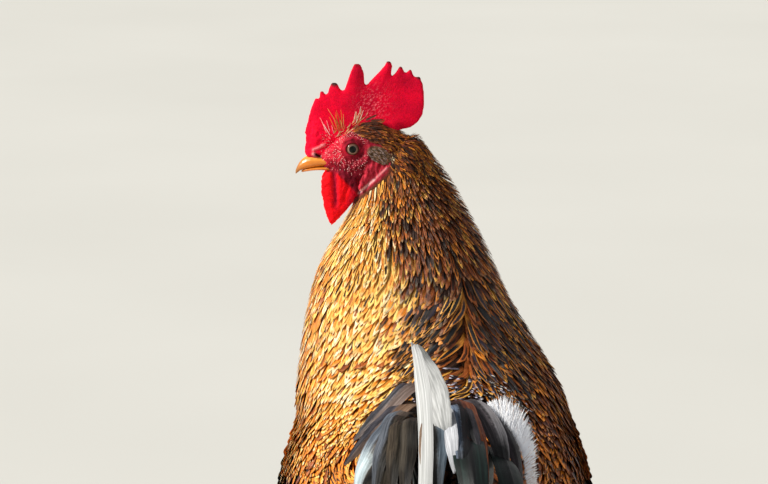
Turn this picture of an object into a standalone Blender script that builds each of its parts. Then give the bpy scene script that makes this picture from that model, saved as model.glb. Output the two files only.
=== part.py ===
"""A standing rooster, life size, with its head turned a quarter to its left.

Metres, +Z up. The bird heads towards -Y, so its left side is +X. It stands on z = 0.
The solids give the outline out to the tips of the feathers: trunk, neck and head are lofts
through ring stations, and every piece that meets another is cut back from it by GAP.
"""

import math

import bmesh
import bpy
from mathutils import Matrix, Vector

# Driving dimensions
GAP = 0.0004  # between any two pieces that meet
PLACE = Vector((0.0, -0.0987, 0.0))  # the model's shift that puts its box centre on the Z axis

HEAD_AT = Vector((0.0656, -0.100, 0.530))  # the head's own frame, just under the eyes; the head faces +X
EYE_RADIUS = 0.0062
EYE_SPREAD = 0.0122  # from the head's middle to an eye's centre
EYE_BACK = 0.0009
EYE_LIFT = 0.0022

HOCK_HEIGHT = 0.118
HOCK_BACK = 0.040
FOOT_SIDE = 0.062  # from the bird's middle to a foot
FOOT_Y = 0.006
SHANK_RADIUS = 0.0068
TOE_RADIUS = 0.0052
TOE_START = 0.0045  # from the foot's centre to where a toe begins, inside the shank

TAIL_ROOT = Vector((0.0, 0.160, 0.350))
VANE_THICKNESS = 0.0022

MM = 0.001

# Body stations: back point (y, z), front point (y, z), half width, middle x, drop of the left side
STATIONS = [
    ((-0.077, 0.517), (-0.123, 0.515), 0.023, 0.038, 0.0235),
    ((-0.068, 0.497), (-0.134, 0.493), 0.038, 0.029, 0.0165),
    ((-0.057, 0.477), (-0.146, 0.469), 0.051, 0.026, 0.0110),
    ((-0.044, 0.451), (-0.157, 0.435), 0.067, 0.024, 0.0060),
    ((-0.029, 0.420), (-0.168, 0.392), 0.081, 0.020, 0.0020),
    ((-0.010, 0.393), (-0.176, 0.346), 0.096, 0.011, 0.0),
    ((0.015, 0.375), (-0.177, 0.302), 0.106, 0.004, 0.0),
    ((0.045, 0.364), (-0.165, 0.261), 0.108, 0.0, 0.0),
    ((0.075, 0.358), (-0.136, 0.225), 0.107, 0.0, 0.0),
    ((0.101, 0.356), (-0.092, 0.198), 0.103, 0.0, 0.0),
    ((0.123, 0.357), (-0.038, 0.184), 0.096, 0.0, 0.0),
    ((0.142, 0.360), (0.018, 0.183), 0.086, 0.0, 0.0),
    ((0.158, 0.364), (0.070, 0.198), 0.072, 0.0, 0.0),
    ((0.171, 0.368), (0.114, 0.228), 0.056, 0.0, 0.0),
    ((0.181, 0.371), (0.148, 0.268), 0.040, 0.0, 0.0),
    ((0.188, 0.372), (0.172, 0.310), 0.024, 0.0, 0.0),
]
NECK_PARTS = 2.0  # the station where the upper neck meets the lower neck
CAPE_END = 5.0  # the station where the neck's cape meets the trunk
LAST = len(STATIONS) - 1.0
BACK_BREADTH = 0.10  # how much broader a trunk section is above its middle than below
PART_CUT = 0.006  # of a station, on each side of the cut between two parts of the body

# How finely the pieces are faceted: sides of a ring, and rings along
BODY_SIDES = 22
UPPER_NECK_RINGS = 6
LOWER_NECK_RINGS = 7
TRUNK_RINGS = 18
HEAD_SIDES = 16
HEAD_RING_COUNT = 12
BILL_SIDES = 10
EYE_SEGMENTS = 12
WING_SIDES = 12
WING_RING_COUNT = 12
THIGH_RING_COUNT = 9
LEG_SIDES = 12
TOE_SIDES = 8
BLADE_SIDES = 8
BLADE_RINGS = 14

# Head stations, from the bill back: forward, middle height, half height, half width (mm in the head's frame)
HEAD_RINGS = [
    (25, -9.0, 4.5, 5.0),
    (20, -8.5, 9.0, 8.0),
    (12, -7.0, 14.5, 11.5),
    (3, -4.5, 19.5, 14.2),
    (-7, -3.5, 22.5, 16.6),
    (-17, -4.0, 24.5, 19.0),
    (-26, -6.0, 25.0, 20.5),
    (-34, -8.0, 22.5, 20.0),
    (-40, -8.5, 19.0, 17.5),
    (-46, -10.5, 13.0, 12.5),
]

# Bill stations: forward, top, bottom, half width (mm in the head's frame)
UPPER_BILL = [
    (15, -8.0, -12.6, 8.2),
    (24, -6.0, -13.8, 7.4),
    (31, -5.4, -15.0, 6.2),
    (36, -6.8, -16.2, 4.9),
    (40, -9.8, -17.4, 3.6),
    (43, -14.2, -19.6, 2.1),
    (44.8, -18.6, -21.0, 0.8),
]
LOWER_BILL = [
    (13, -12.6, -17.6, 7.4),
    (24, -13.6, -17.4, 6.2),
    (32, -14.8, -17.9, 4.6),
    (37, -15.8, -18.8, 3.2),
    (40, -16.8, -19.4, 1.4),
]

# Comb points: where the tip is, then the notch behind it (mm forward and up in the head's frame)
COMB_FRONT = [(33.0, -3.5), (36.6, 5.5), (36.8, 14.0), (34.6, 23.0), (32.0, 32.5)]
COMB_TEETH = [
    ((28.0, 40.6), (26.0, 37.6)),
    ((23.4, 46.4), (19.6, 43.0)),
    ((13.6, 53.0), (6.4, 46.2)),
    ((-4.4, 67.8), (-11.0, 50.4)),
    ((-29.2, 70.0), (-31.4, 57.4)),
    ((-38.6, 65.6), (-42.6, 60.2)),
    ((-46.2, 63.2), (-49.2, 57.8)),
    ((-53.2, 57.6), (-55.6, 52.8)),
]
COMB_TIP_BREADTH = [1.8, 2.6, 6.0, 7.0, 4.2, 3.0, 2.4, 2.2]
COMB_REAR = [(-57.2, 45.0), (-57.6, 35.0), (-56.2, 27.0), (-52.4, 20.8), (-46.6, 16.6), (-38.0, 14.8)]
COMB_FOOT = [(-24.0, 6.0), (0.0, 8.0), (20.0, 0.0)]
TOOTH_SHAPE = [(0.75, 0.9), (0.35, 0.0), (-0.35, 0.0), (-0.75, 0.9)]  # across and down, in tip breadths
NOTCH_HALF = 0.5
COMB_HALF_THICK = 0.0024

WATTLE = [
    (20.0, -17.0), (24.4, -24.0), (24.2, -33.0), (22.0, -46.0), (18.8, -56.0), (16.0, -60.2),
    (12.4, -57.0), (6.0, -50.5), (-0.8, -42.0), (-4.6, -32.0), (-3.0, -22.0), (8.0, -15.0),
]
LOBE = [
    (-13.0, -11.0), (-21.0, -6.5), (-29.0, -5.4), (-31.0, -10.0), (-27.6, -15.6),
    (-20.0, -21.4), (-12.0, -27.8), (-6.4, -32.4), (-4.6, -29.0), (-8.6, -19.0),
]

# Flaps of skin: half thickness, rounding of the edge, how far to the side, and lean from upright in degrees
WATTLE_PLATE = (0.0024, 0.0010, 0.0075, 5)
LOBE_PLATE = (0.0030, 0.0012, 0.0195, -6)

# Wing stations along the trunk: y, middle z, half height, half thickness
WING_RINGS = [
    (-0.118, 0.318, 0.012, 0.006),
    (-0.108, 0.317, 0.030, 0.014),
    (-0.085, 0.312, 0.046, 0.019),
    (-0.045, 0.303, 0.055, 0.021),
    (0.005, 0.295, 0.055, 0.020),
    (0.050, 0.289, 0.049, 0.018),
    (0.090, 0.284, 0.037, 0.015),
    (0.125, 0.280, 0.023, 0.012),
    (0.152, 0.277, 0.010, 0.006),
]
WING_LEAN = 0.32  # how far a wing's lower edge lies outside its middle, in its half height
WING_SIDE = [0.075, 0.080, 0.088, 0.095, 0.097, 0.093, 0.083, 0.069, 0.055]

# Shank stations from the hock to the foot: share of the way, radius as a share of SHANK_RADIUS
SHANK_SWELL = [(0.0, 1.22), (0.08, 1.18), (0.25, 0.98), (0.5, 0.90), (0.75, 0.94), (0.92, 1.16), (1.0, 1.12)]
HOCK_INSET = 0.006  # how much nearer the bird's middle the hock is than the foot

SPUR_AT = 0.66  # of the way from hock to foot
SPUR_LENGTH = 0.022
SPUR_RADII = [0.0042, 0.0037, 0.0029, 0.0018, 0.0006]
CLAW_RADII = [0.0030, 0.0028, 0.0023, 0.0015, 0.0006]
CLAW_OVERLAP = 0.002  # how far a claw begins inside its toe
TOE_KNUCKLES = 8  # rings along a toe
TOE_TAPER = 0.42

# Thigh stations from the belly to the hock: share of the way, half width, half depth
THIGH_RINGS = [
    (0.00, 0.026, 0.044),
    (0.20, 0.034, 0.052),
    (0.42, 0.033, 0.045),
    (0.62, 0.026, 0.033),
    (0.80, 0.0175, 0.022),
    (0.92, 0.0120, 0.0145),
    (1.00, 0.0088, 0.0100),
]
THIGH_TOP = Vector((0.048, -0.016, 0.248))

# Toes: name, angle from straight ahead (outwards positive), length, claw length
TOES = [
    ("toe_inner", -30, 0.046, 0.012),
    ("toe_middle", 3, 0.062, 0.013),
    ("toe_outer", 35, 0.049, 0.012),
    ("toe_back", 165, 0.024, 0.010),
]

# Tail blades: name, side, spine as (y, z) from the tail root, widest half width, side x at root and tip
SECOND_SICKLE = [
    (0.004, -0.004), (0.042, 0.020), (0.088, 0.034), (0.132, 0.016), (0.162, -0.026), (0.174, -0.074),
]
SICKLES = [
    ("sickle_main_left", 1, [(0, 0), (0.028, 0.050), (0.070, 0.096), (0.116, 0.104), (0.162, 0.076),
                             (0.194, 0.028), (0.212, -0.018)], 0.014, 0.012, 0.020),
    ("sickle_main_right", -1, [(0, 0), (0.032, 0.034), (0.080, 0.054), (0.134, 0.046), (0.178, 0.004),
                               (0.200, -0.052)], 0.015, 0.010, 0.026),
    ("sickle_second_left", 1, SECOND_SICKLE, 0.012, 0.030, 0.058),
    ("sickle_second_right", -1, SECOND_SICKLE, 0.012, 0.030, 0.058),
]

# Tail feathers on one side: angle above level in degrees and length from the tail root, top to bottom
FAN_FEATHERS = [(27, 0.104), (20, 0.130), (13, 0.152), (6, 0.168), (-1, 0.174), (-8, 0.166)]
# A tail feather's tip: degrees from its own angle, share of its length
FAN_TIP_CURVE = [(2.6, 0.90), (1.1, 0.985), (-1.0, 1.0), (-2.8, 0.95), (-3.9, 0.86)]
FAN_ROOT_TOP = (-0.004, 0.014)
FAN_ROOT_LOW = (0.002, -0.034)
FAN_HALF_THICK = 0.004
FAN_LEAN = 12  # degrees that each side of the tail leans out
FAN_SIDE = 0.017  # from the tail's middle to a fan's root
FAN_ROUNDING = 0.0012
SICKLE_TWIST = 30  # degrees that a sickle turns outwards from root to tip


def clear_scene():
    for obj in list(bpy.data.objects):
        bpy.data.objects.remove(obj)


def collection(name):
    made = bpy.data.collections.new(name)
    bpy.context.scene.collection.children.link(made)
    return made


def material(name, colour, roughness):
    made = bpy.data.materials.new(name)
    made.use_nodes = True
    shader = made.node_tree.nodes["Principled BSDF"]
    shader.inputs["Base Color"].default_value = (*colour, 1)
    shader.inputs["Roughness"].default_value = roughness
    return made


def empty(name, place, parent=None):
    made = bpy.data.objects.new(name, None)
    made.location = place
    made.parent = parent
    PARTS.objects.link(made)
    return made


def add(name, mesh, finish, parent):
    """A smooth-shaded piece with its own material, in the parts collection."""
    made = bpy.data.objects.new(name, mesh)
    made.parent = parent
    mesh.materials.clear()
    mesh.materials.append(FINISHES[finish])
    mesh.shade_smooth()
    UNCUT[name] = mesh.copy()
    PARTS.objects.link(made)
    bpy.context.view_layer.update()
    return made


def between(values, at):
    """The value at a fractional index of a list of tuples, on a smooth curve through them."""
    i = min(int(at), len(values) - 2)
    t = at - i
    before, a, b, after = (Vector(values[min(max(k, 0), len(values) - 1)]) for k in (i - 1, i, i + 1, i + 2))
    return 0.5 * (2 * a + (b - before) * t + (2 * before - 5 * a + 4 * b - after) * t**2
                  + (3 * a - before - 3 * b + after) * t**3)


def steps(start, end, count):
    return [start + (end - start) * k / (count - 1) for k in range(count)]


def ellipse(middle, across, along, sides, broader=0.0):
    """A ring of points. across and along are its half axes; broader widens its +along half."""
    ring = []
    for k in range(sides):
        angle = 2 * math.pi * (k + 0.5) / sides
        widen = 1 + broader * math.sin(angle)
        ring.append(middle + across * math.cos(angle) * widen + along * math.sin(angle))
    return ring


def loft(name, rings):
    """A closed mesh of triangles through rings of equal count, its ends closed flat."""
    shape = bmesh.new()
    loops = [[shape.verts.new(point) for point in ring] for ring in rings]
    for first, second in zip(loops, loops[1:]):
        for k in range(len(first)):
            after = (k + 1) % len(first)
            shape.faces.new((first[k], first[after], second[after], second[k]))
    shape.faces.new(loops[0][::-1])
    shape.faces.new(loops[-1])
    bmesh.ops.triangulate(shape, faces=shape.faces)
    bmesh.ops.recalc_face_normals(shape, faces=shape.faces)
    mesh = bpy.data.meshes.new(name)
    shape.to_mesh(mesh)
    shape.free()
    return mesh


def plate(name, outline, half_thick, rounding):
    """A closed flat outline in the XZ plane, thickened along Y, with rounded edges."""
    curve = bpy.data.curves.new(name, "CURVE")
    curve.dimensions = "2D"
    curve.fill_mode = "BOTH"
    curve.extrude = half_thick - rounding
    curve.bevel_depth = rounding
    curve.bevel_resolution = 0
    curve.offset = -rounding
    spline = curve.splines.new("POLY")
    spline.points.add(len(outline) - 1)
    for point, (across, up) in zip(spline.points, outline):
        point.co = (across * MM, up * MM, 0, 1)
    spline.use_cyclic_u = True
    guide = bpy.data.objects.new(name + "_outline", curve)
    PARTS.objects.link(guide)
    bpy.context.view_layer.update()
    mesh = bpy.data.meshes.new_from_object(guide.evaluated_get(bpy.context.evaluated_depsgraph_get()))
    bpy.data.objects.remove(guide)
    shape = bmesh.new()
    shape.from_mesh(mesh)
    bmesh.ops.remove_doubles(shape, verts=shape.verts, dist=0.00001)
    bmesh.ops.triangulate(shape, faces=shape.faces)
    bmesh.ops.recalc_face_normals(shape, faces=shape.faces)
    shape.to_mesh(mesh)
    shape.free()
    mesh.transform(Matrix.Rotation(math.radians(90), 4, "X"))
    return mesh


def swollen(piece):
    """A hidden copy of a piece as it was before any cut, larger by GAP all round: a cutter."""
    mesh = UNCUT[piece.name].copy()
    mesh.transform(piece.matrix_world)
    normals = [vertex.normal.copy() for vertex in mesh.vertices]
    for vertex, normal in zip(mesh.vertices, normals):
        vertex.co += normal * GAP
    cutter = bpy.data.objects.new(piece.name + "_cutter", mesh)
    cutter.hide_render = True
    cutter.display_type = "WIRE"
    CUTTERS.objects.link(cutter)
    return cutter


def seat(piece, *neighbours, solver="EXACT"):
    """Cuts a piece back from the pieces that it meets. MANIFOLD is for cutters that cross each other."""
    for neighbour in neighbours:
        cut = piece.modifiers.new("clear_" + neighbour.name, "BOOLEAN")
        cut.solver = solver
        cut.object = swollen(neighbour)
    bpy.context.view_layer.update()
    graph = bpy.context.evaluated_depsgraph_get()
    mesh = bpy.data.meshes.new_from_object(piece.evaluated_get(graph))
    piece.modifiers.clear()
    piece.data = mesh
    bpy.context.view_layer.update()
    return piece


def body_ring(at, sides):
    """The trunk's or neck's outline at a fractional station."""
    back_y, back_z = between([s[0] for s in STATIONS], at)
    front_y, front_z = between([s[1] for s in STATIONS], at)
    half_width, middle_x, drop = between([s[2:] for s in STATIONS], at)
    back = Vector((middle_x, back_y, back_z))
    front = Vector((middle_x, front_y, front_z))
    broader = BACK_BREADTH * min(max((at - CAPE_END) / 2, 0), 1)
    across = Vector((half_width, 0, -drop))
    return ellipse((back + front) / 2, across, (back - front) / 2, sides, broader)


def make_body(root):
    """Trunk, lower neck and upper neck: one loft, parted by thin cuts."""
    made = []
    for name, start, end, rings, finish in (
            ("neck_upper", 0.0, NECK_PARTS - PART_CUT, UPPER_NECK_RINGS, "hackle"),
            ("neck_lower", NECK_PARTS + PART_CUT, CAPE_END - PART_CUT, LOWER_NECK_RINGS, "hackle"),
            ("trunk", CAPE_END + PART_CUT, LAST, TRUNK_RINGS, "body")):
        mesh = loft(name, [body_ring(t, BODY_SIDES) for t in steps(start, end, rings)])
        made.append(add(name, mesh, finish, root))
    return made


def bill_half(name, stations, parent):
    rings = []
    for t in steps(0, len(stations) - 1, len(stations) + 2):
        forward, top, bottom, half_width = between(stations, t) * MM
        middle = Vector((forward, 0, (top + bottom) / 2))
        half_height = Vector((0, 0, (top - bottom) / 2))
        rings.append(ellipse(middle, Vector((0, half_width, 0)), half_height, BILL_SIDES))
    return add(name, loft(name, rings), "bill", parent)


def comb_outline():
    """The single comb: its front edge, its pointed teeth with notches between, and its round rear lobe."""
    outline = list(COMB_FRONT)
    for (tip, notch), breadth in zip(COMB_TEETH, COMB_TIP_BREADTH):
        for across, down in TOOTH_SHAPE:
            outline.append((tip[0] + across * breadth, tip[1] - down * breadth))
        outline.append((notch[0] + NOTCH_HALF, notch[1]))
        outline.append((notch[0] - NOTCH_HALF, notch[1]))
    return outline + COMB_REAR + COMB_FOOT


def make_head(root, neck_upper):
    """Head, comb, bill, eyes, wattles and earlobes, in the head's own frame, which faces +X."""
    at_head = empty("at_head", HEAD_AT, root)
    rings = []
    for t in steps(0, len(HEAD_RINGS) - 1, HEAD_RING_COUNT):
        forward, height, half_height, half_width = between(HEAD_RINGS, t) * MM
        rings.append(ellipse(Vector((forward, 0, height)), Vector((0, half_width, 0)),
                             Vector((0, 0, half_height)), HEAD_SIDES))
    head = add("head", loft("head", rings), "face", at_head)
    comb = add("comb", plate("comb", comb_outline(), COMB_HALF_THICK, 0.0), "comb", at_head)
    upper = bill_half("bill_upper", UPPER_BILL, at_head)
    lower = bill_half("bill_lower", LOWER_BILL, at_head)
    seat(lower, upper)
    eyes, flaps = [], []
    for side, end in ((1, "left"), (-1, "right")):
        shape = bmesh.new()
        bmesh.ops.create_uvsphere(shape, u_segments=EYE_SEGMENTS, v_segments=EYE_SEGMENTS * 2 // 3,
                                  radius=EYE_RADIUS)
        mesh = bpy.data.meshes.new("eye")
        shape.to_mesh(mesh)
        shape.free()
        place = Matrix.Translation((-EYE_BACK, side * EYE_SPREAD, EYE_LIFT))
        mesh.transform(place @ Matrix.Rotation(math.pi / 2, 4, "X"))
        eyes.append(add("eye_" + end, mesh, "eye", at_head))
        for name, outline, flap in (("wattle_", WATTLE, WATTLE_PLATE), ("earlobe_", LOBE, LOBE_PLATE)):
            half_thick, rounding, out, lean = flap
            mesh = plate(name + end, outline, half_thick, rounding)
            turn = Matrix.Rotation(side * math.radians(lean), 4, "X")
            mesh.transform(Matrix.Translation((0, side * out, 0)) @ turn)
            flaps.append(add(name + end, mesh, "comb", at_head))
    seat(head, upper, lower, *eyes, solver="MANIFOLD")
    seat(comb, head, upper)
    for flap in flaps:
        seat(flap, head, lower, upper, neck_upper, solver="MANIFOLD")
    return head, comb


def make_wing(side, end, root):
    """A folded wing: a lens along the trunk's side, hollowed where the trunk meets it."""
    rings = []
    for t in steps(0, len(WING_RINGS) - 1, WING_RING_COUNT):
        y, z, half_height, half_thick = between(WING_RINGS, t)
        x = between([(v, 0) for v in WING_SIDE], t)[0]
        lean = Vector((side * WING_LEAN * half_height, 0, -half_height))
        rings.append(ellipse(Vector((side * x, y, z)), Vector((side * half_thick, 0, 0)), lean, WING_SIDES))
    return add("wing_" + end, loft("wing", rings), "wing", root)


def tube(name, points, radii, sides):
    """A tapering limb through points, flat where it would reach under the floor."""
    upright = abs((points[-1] - points[0]).normalized().z) > 0.7
    sideways = Vector((1, 0, 0)) if upright else Vector((0, 0, 1))
    rings = []
    for k, point in enumerate(points):
        ahead = points[min(k + 1, len(points) - 1)] - points[max(k - 1, 0)]
        across = ahead.cross(sideways).normalized()
        along = across.cross(ahead).normalized()
        ring = ellipse(point, across * radii[k], along * radii[k], sides)
        rings.append([Vector((p.x, p.y, max(p.z, 0.0))) for p in ring])
    return loft(name, rings)


def make_leg(side, end, root):
    """Feathered thigh, scaled shank with its spur, four toes and their claws."""
    foot = Vector((side * FOOT_SIDE, FOOT_Y, TOE_RADIUS))
    hock = Vector((side * (FOOT_SIDE - HOCK_INSET), FOOT_Y + HOCK_BACK, HOCK_HEIGHT))
    top = Vector((side * THIGH_TOP.x, THIGH_TOP.y, THIGH_TOP.z))
    rings = []
    for t in steps(0, len(THIGH_RINGS) - 1, THIGH_RING_COUNT):
        share, half_width, half_depth = between(THIGH_RINGS, t)
        middle = top.lerp(hock, share)
        along = Vector((0, half_depth, half_depth * 0.25))
        rings.append(ellipse(middle, Vector((half_width, 0, 0)), along, LEG_SIDES))
    thigh = add("thigh_" + end, loft("thigh", rings), "body", root)

    path = [hock.lerp(foot, share) for share, _ in SHANK_SWELL]
    radii = [SHANK_RADIUS * swell for _, swell in SHANK_SWELL]
    shank = add("shank_" + end, tube("shank", path, radii, LEG_SIDES), "leg", root)
    seat(thigh, shank)

    spur_root = hock.lerp(foot, SPUR_AT) + Vector((-side * 0.005, 0.004, 0))
    spur_path = [spur_root + Vector((-side * 0.004 * t, SPUR_LENGTH * t, 0.006 * t * t))
                 for t in steps(0, 1, len(SPUR_RADII))]
    spur = add("spur_" + end, tube("spur", spur_path, SPUR_RADII, TOE_SIDES), "claw", root)
    seat(spur, shank)

    done = []
    for name, angle, length, claw_length in TOES:
        turn = math.radians(angle)
        ahead = Vector((side * math.sin(turn), -math.cos(turn), 0))
        knuckles = steps(0, 1, TOE_KNUCKLES)
        radii = [TOE_RADIUS * (1.08 - TOE_TAPER * t + 0.07 * math.cos(t * 6 * math.pi)) for t in knuckles]
        path = [Vector((foot.x, foot.y, 0.86 * radius)) + ahead * (TOE_START + (length - TOE_START) * t)
                for radius, t in zip(radii, knuckles)]
        toe = add(name + "_" + end, tube(name, path, radii, TOE_SIDES), "leg", root)
        seat(toe, shank, *done, solver="MANIFOLD")
        done.append(toe)
        tip = path[-1]
        hook = [tip + ahead * (claw_length * t - CLAW_OVERLAP)
                + Vector((0, 0, 0.0022 * math.sin(t * math.pi) - 0.0024 * t))
                for t in steps(0, 1, len(CLAW_RADII))]
        claw_name = name.replace("toe", "claw") + "_" + end
        claw = add(claw_name, tube(claw_name, hook, CLAW_RADII, TOE_SIDES), "claw", root)
        seat(claw, toe, solver="MANIFOLD")
    return thigh


def blade(name, spine, half_width, side_root, side_tip, side, twist, parent):
    """A long curved feather: thin oval sections along a spine in the bird's length, leaning to one side."""
    rings = []
    for share in steps(0, 1, BLADE_RINGS):
        at = share * (len(spine) - 1)
        y, z = between(spine, at)
        ahead_y, ahead_z = between(spine, min(at + 0.05, len(spine) - 1)) - between(spine, max(at - 0.05, 0))
        ahead = Vector((0, ahead_y, ahead_z)).normalized()
        out = Vector((1, 0, 0))
        wide = ahead.cross(out)
        turn = Matrix.Rotation(side * math.radians(twist) * share, 3, ahead)
        full = math.sin(math.pi * min(0.16 + 0.84 * share, 0.97)) ** 0.55
        x = side * (side_root + (side_tip - side_root) * share)
        middle = TAIL_ROOT + Vector((x, y, z))
        across = turn @ wide * half_width * full
        rings.append(ellipse(middle, across, turn @ out * VANE_THICKNESS / 2, BLADE_SIDES))
    return add(name, loft(name, rings), "tail", parent)


def make_tail(root, trunk):
    """On each side a leaning fan of tail feathers with a stepped edge, and two curved sickles."""
    for side, end in ((1, "left"), (-1, "right")):
        outline = [FAN_ROOT_LOW, FAN_ROOT_TOP]
        for angle, length in FAN_FEATHERS:
            for turn, share in FAN_TIP_CURVE:
                up = math.radians(angle + turn)
                outline.append((length * share * math.cos(up), length * share * math.sin(up)))
        fan = plate("tail_fan", [(y / MM, z / MM) for y, z in outline], FAN_HALF_THICK, FAN_ROUNDING)
        lean = Matrix.Rotation(side * math.radians(FAN_LEAN), 4, "Y")
        fan.transform(Matrix.Translation(TAIL_ROOT + Vector((side * FAN_SIDE, 0, 0))) @ lean
                      @ Matrix.Rotation(math.pi / 2, 4, "Z"))
        fan = add("tail_fan_" + end, fan, "tail", root)
        seat(fan, trunk)
        for name, of_side, spine, half_width, side_root, side_tip in SICKLES:
            if of_side == side:
                sickle = blade(name, spine, half_width, side_root, side_tip, side, SICKLE_TWIST, root)
                seat(sickle, trunk, fan)


def build():
    root = empty("rooster", PLACE)
    neck_upper, neck_lower, trunk = make_body(root)
    head, comb = make_head(root, neck_upper)
    seat(neck_upper, head)
    seat(comb, neck_upper)
    wings, thighs = [], []
    for side, end in ((1, "left"), (-1, "right")):
        wings.append(make_wing(side, end, root))
        thighs.append(make_leg(side, end, root))
    for wing in wings:
        seat(wing, trunk, neck_lower)
    for thigh, wing in zip(thighs, wings):
        seat(thigh, trunk, wing)
    make_tail(root, trunk)


clear_scene()
PARTS = collection("rooster")
CUTTERS = collection("cutters")
UNCUT = {}
FINISHES = {
    "hackle": material("hackle", (0.62, 0.33, 0.09), 0.45),
    "body": material("body", (0.30, 0.13, 0.05), 0.55),
    "wing": material("wing", (0.33, 0.13, 0.05), 0.45),
    "tail": material("tail", (0.03, 0.04, 0.04), 0.35),
    "face": material("face", (0.62, 0.03, 0.05), 0.5),
    "comb": material("comb", (0.72, 0.01, 0.03), 0.45),
    "bill": material("bill", (0.80, 0.47, 0.10), 0.35),
    "eye": material("eye", (0.45, 0.38, 0.22), 0.08),
    "leg": material("leg", (0.76, 0.55, 0.14), 0.5),
    "claw": material("claw", (0.62, 0.50, 0.32), 0.4),
}
build()
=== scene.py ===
"""The looks of a standing rooster: one skin, and solid feathers, scales and horn over it."""

import math

import bmesh
import bpy
import numpy as np
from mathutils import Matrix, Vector, noise
from mathutils.bvhtree import BVHTree
from mathutils.kdtree import KDTree


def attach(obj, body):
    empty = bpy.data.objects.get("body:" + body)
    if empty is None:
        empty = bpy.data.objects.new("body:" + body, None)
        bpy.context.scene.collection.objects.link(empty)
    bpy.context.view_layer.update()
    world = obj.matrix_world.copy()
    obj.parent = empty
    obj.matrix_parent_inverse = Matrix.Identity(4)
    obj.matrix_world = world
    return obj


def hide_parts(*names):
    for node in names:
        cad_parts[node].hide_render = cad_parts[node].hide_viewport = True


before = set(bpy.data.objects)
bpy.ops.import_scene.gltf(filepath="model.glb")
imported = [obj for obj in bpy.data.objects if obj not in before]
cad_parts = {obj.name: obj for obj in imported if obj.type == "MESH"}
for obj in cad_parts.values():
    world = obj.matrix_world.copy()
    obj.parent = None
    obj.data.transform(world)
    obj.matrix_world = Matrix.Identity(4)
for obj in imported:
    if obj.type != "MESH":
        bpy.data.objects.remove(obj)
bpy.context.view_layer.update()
RNG = np.random.default_rng(7)
MM = 0.001

HEAD = np.array((0.0656, -0.1987, 0.530))  # the head's own frame, just under the eyes; the head faces +X
SIDE_SLOPE = 0.2126  # how much lower a mark on the head counts for each step out to the side
EYE = HEAD + (-0.0009, 0.0, 0.0022)  # midway between the eyes
EYE_RADIUS = 0.0062
EYE_SPREAD = 0.0122  # from the head's middle to an eye's centre
TAIL_ROOT = np.array((0.0, 0.0613, 0.350))
UP = np.array((0.0, 0.0, 1.0))

# The line that the plumage follows, from the crown over the back to the tail
SPINE = [
    (0.048, -0.199, 0.570), (0.034, -0.199, 0.520), (0.024, -0.199, 0.460), (0.016, -0.193, 0.405),
    (0.006, -0.165, 0.350), (0.0, -0.110, 0.305), (0.0, -0.045, 0.295), (0.0, 0.015, 0.315),
    (0.0, 0.065, 0.345), (0.0, 0.110, 0.375),
]

FOOT = np.array((0.062, -0.0927, 0.0052))
HOCK = np.array((0.056, -0.0527, 0.118))
LEG_TOP = 0.130
SIDES = ((1, "left"), (-1, "right"))  # the bird's left is +X

FLESH = ["trunk", "neck_lower", "neck_upper", "head", "wing_left", "wing_right", "thigh_left", "thigh_right"]
BARE_PARTS = ["comb", "wattle_left", "wattle_right", "earlobe_left", "earlobe_right"]


# ---------------------------------------------------------------- small tools

def smooth_step(low, high, value):
    t = np.clip((value - low) / (high - low), 0, 1)
    return t * t * (3 - 2 * t)


def unit(vectors):
    return vectors / np.maximum(np.linalg.norm(vectors, axis=-1, keepdims=True), 1e-9)


def curve_through(points, count):
    """count points on a Catmull-Rom curve through the given ones."""
    points = np.array(points, float)
    at = np.linspace(0, len(points) - 1, count)
    i = np.minimum(at.astype(int), len(points) - 2)
    t = (at - i)[:, None]
    a, b = points[i], points[i + 1]
    before = np.where((i > 0)[:, None], points[np.maximum(i - 1, 0)], 2 * a - b)
    last = len(points) - 1
    after = np.where((i + 2 <= last)[:, None], points[np.minimum(i + 2, last)], 2 * b - a)
    return 0.5 * (2 * a + (b - before) * t + (2 * before - 5 * a + 4 * b - after) * t**2
                  + (3 * a - before - 3 * b + after) * t**3)


def link(name, data, material=None):
    """An object of its own in the scene, with its mesh, camera or light."""
    made = bpy.data.objects.new(name, data)
    bpy.context.scene.collection.objects.link(made)
    if material:
        data.materials.clear()
        data.materials.append(material)
    return made


def hand_over(made, slot, *nodes):
    """Makes a piece move with the root body and hides the CAD nodes that it replaces. Its slot, what it is
    made of, is not used.
    """
    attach(made, "root")
    if nodes:
        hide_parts(*nodes)
    return made


def mesh_of(shape, name):
    """The mesh of a bmesh, which is freed."""
    mesh = bpy.data.meshes.new(name)
    shape.to_mesh(mesh)
    shape.free()
    return mesh


def joined(meshes):
    whole = bmesh.new()
    for mesh in meshes:
        whole.from_mesh(mesh)
    return mesh_of(whole, "joined")


def moved(mesh, points):
    mesh.vertices.foreach_set("co", points.astype(np.float32).ravel())
    mesh.update()
    return mesh


def coordinates(mesh):
    values = np.empty(len(mesh.vertices) * 3, np.float32)
    mesh.vertices.foreach_get("co", values)
    return values.reshape(-1, 3).astype(float)


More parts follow.
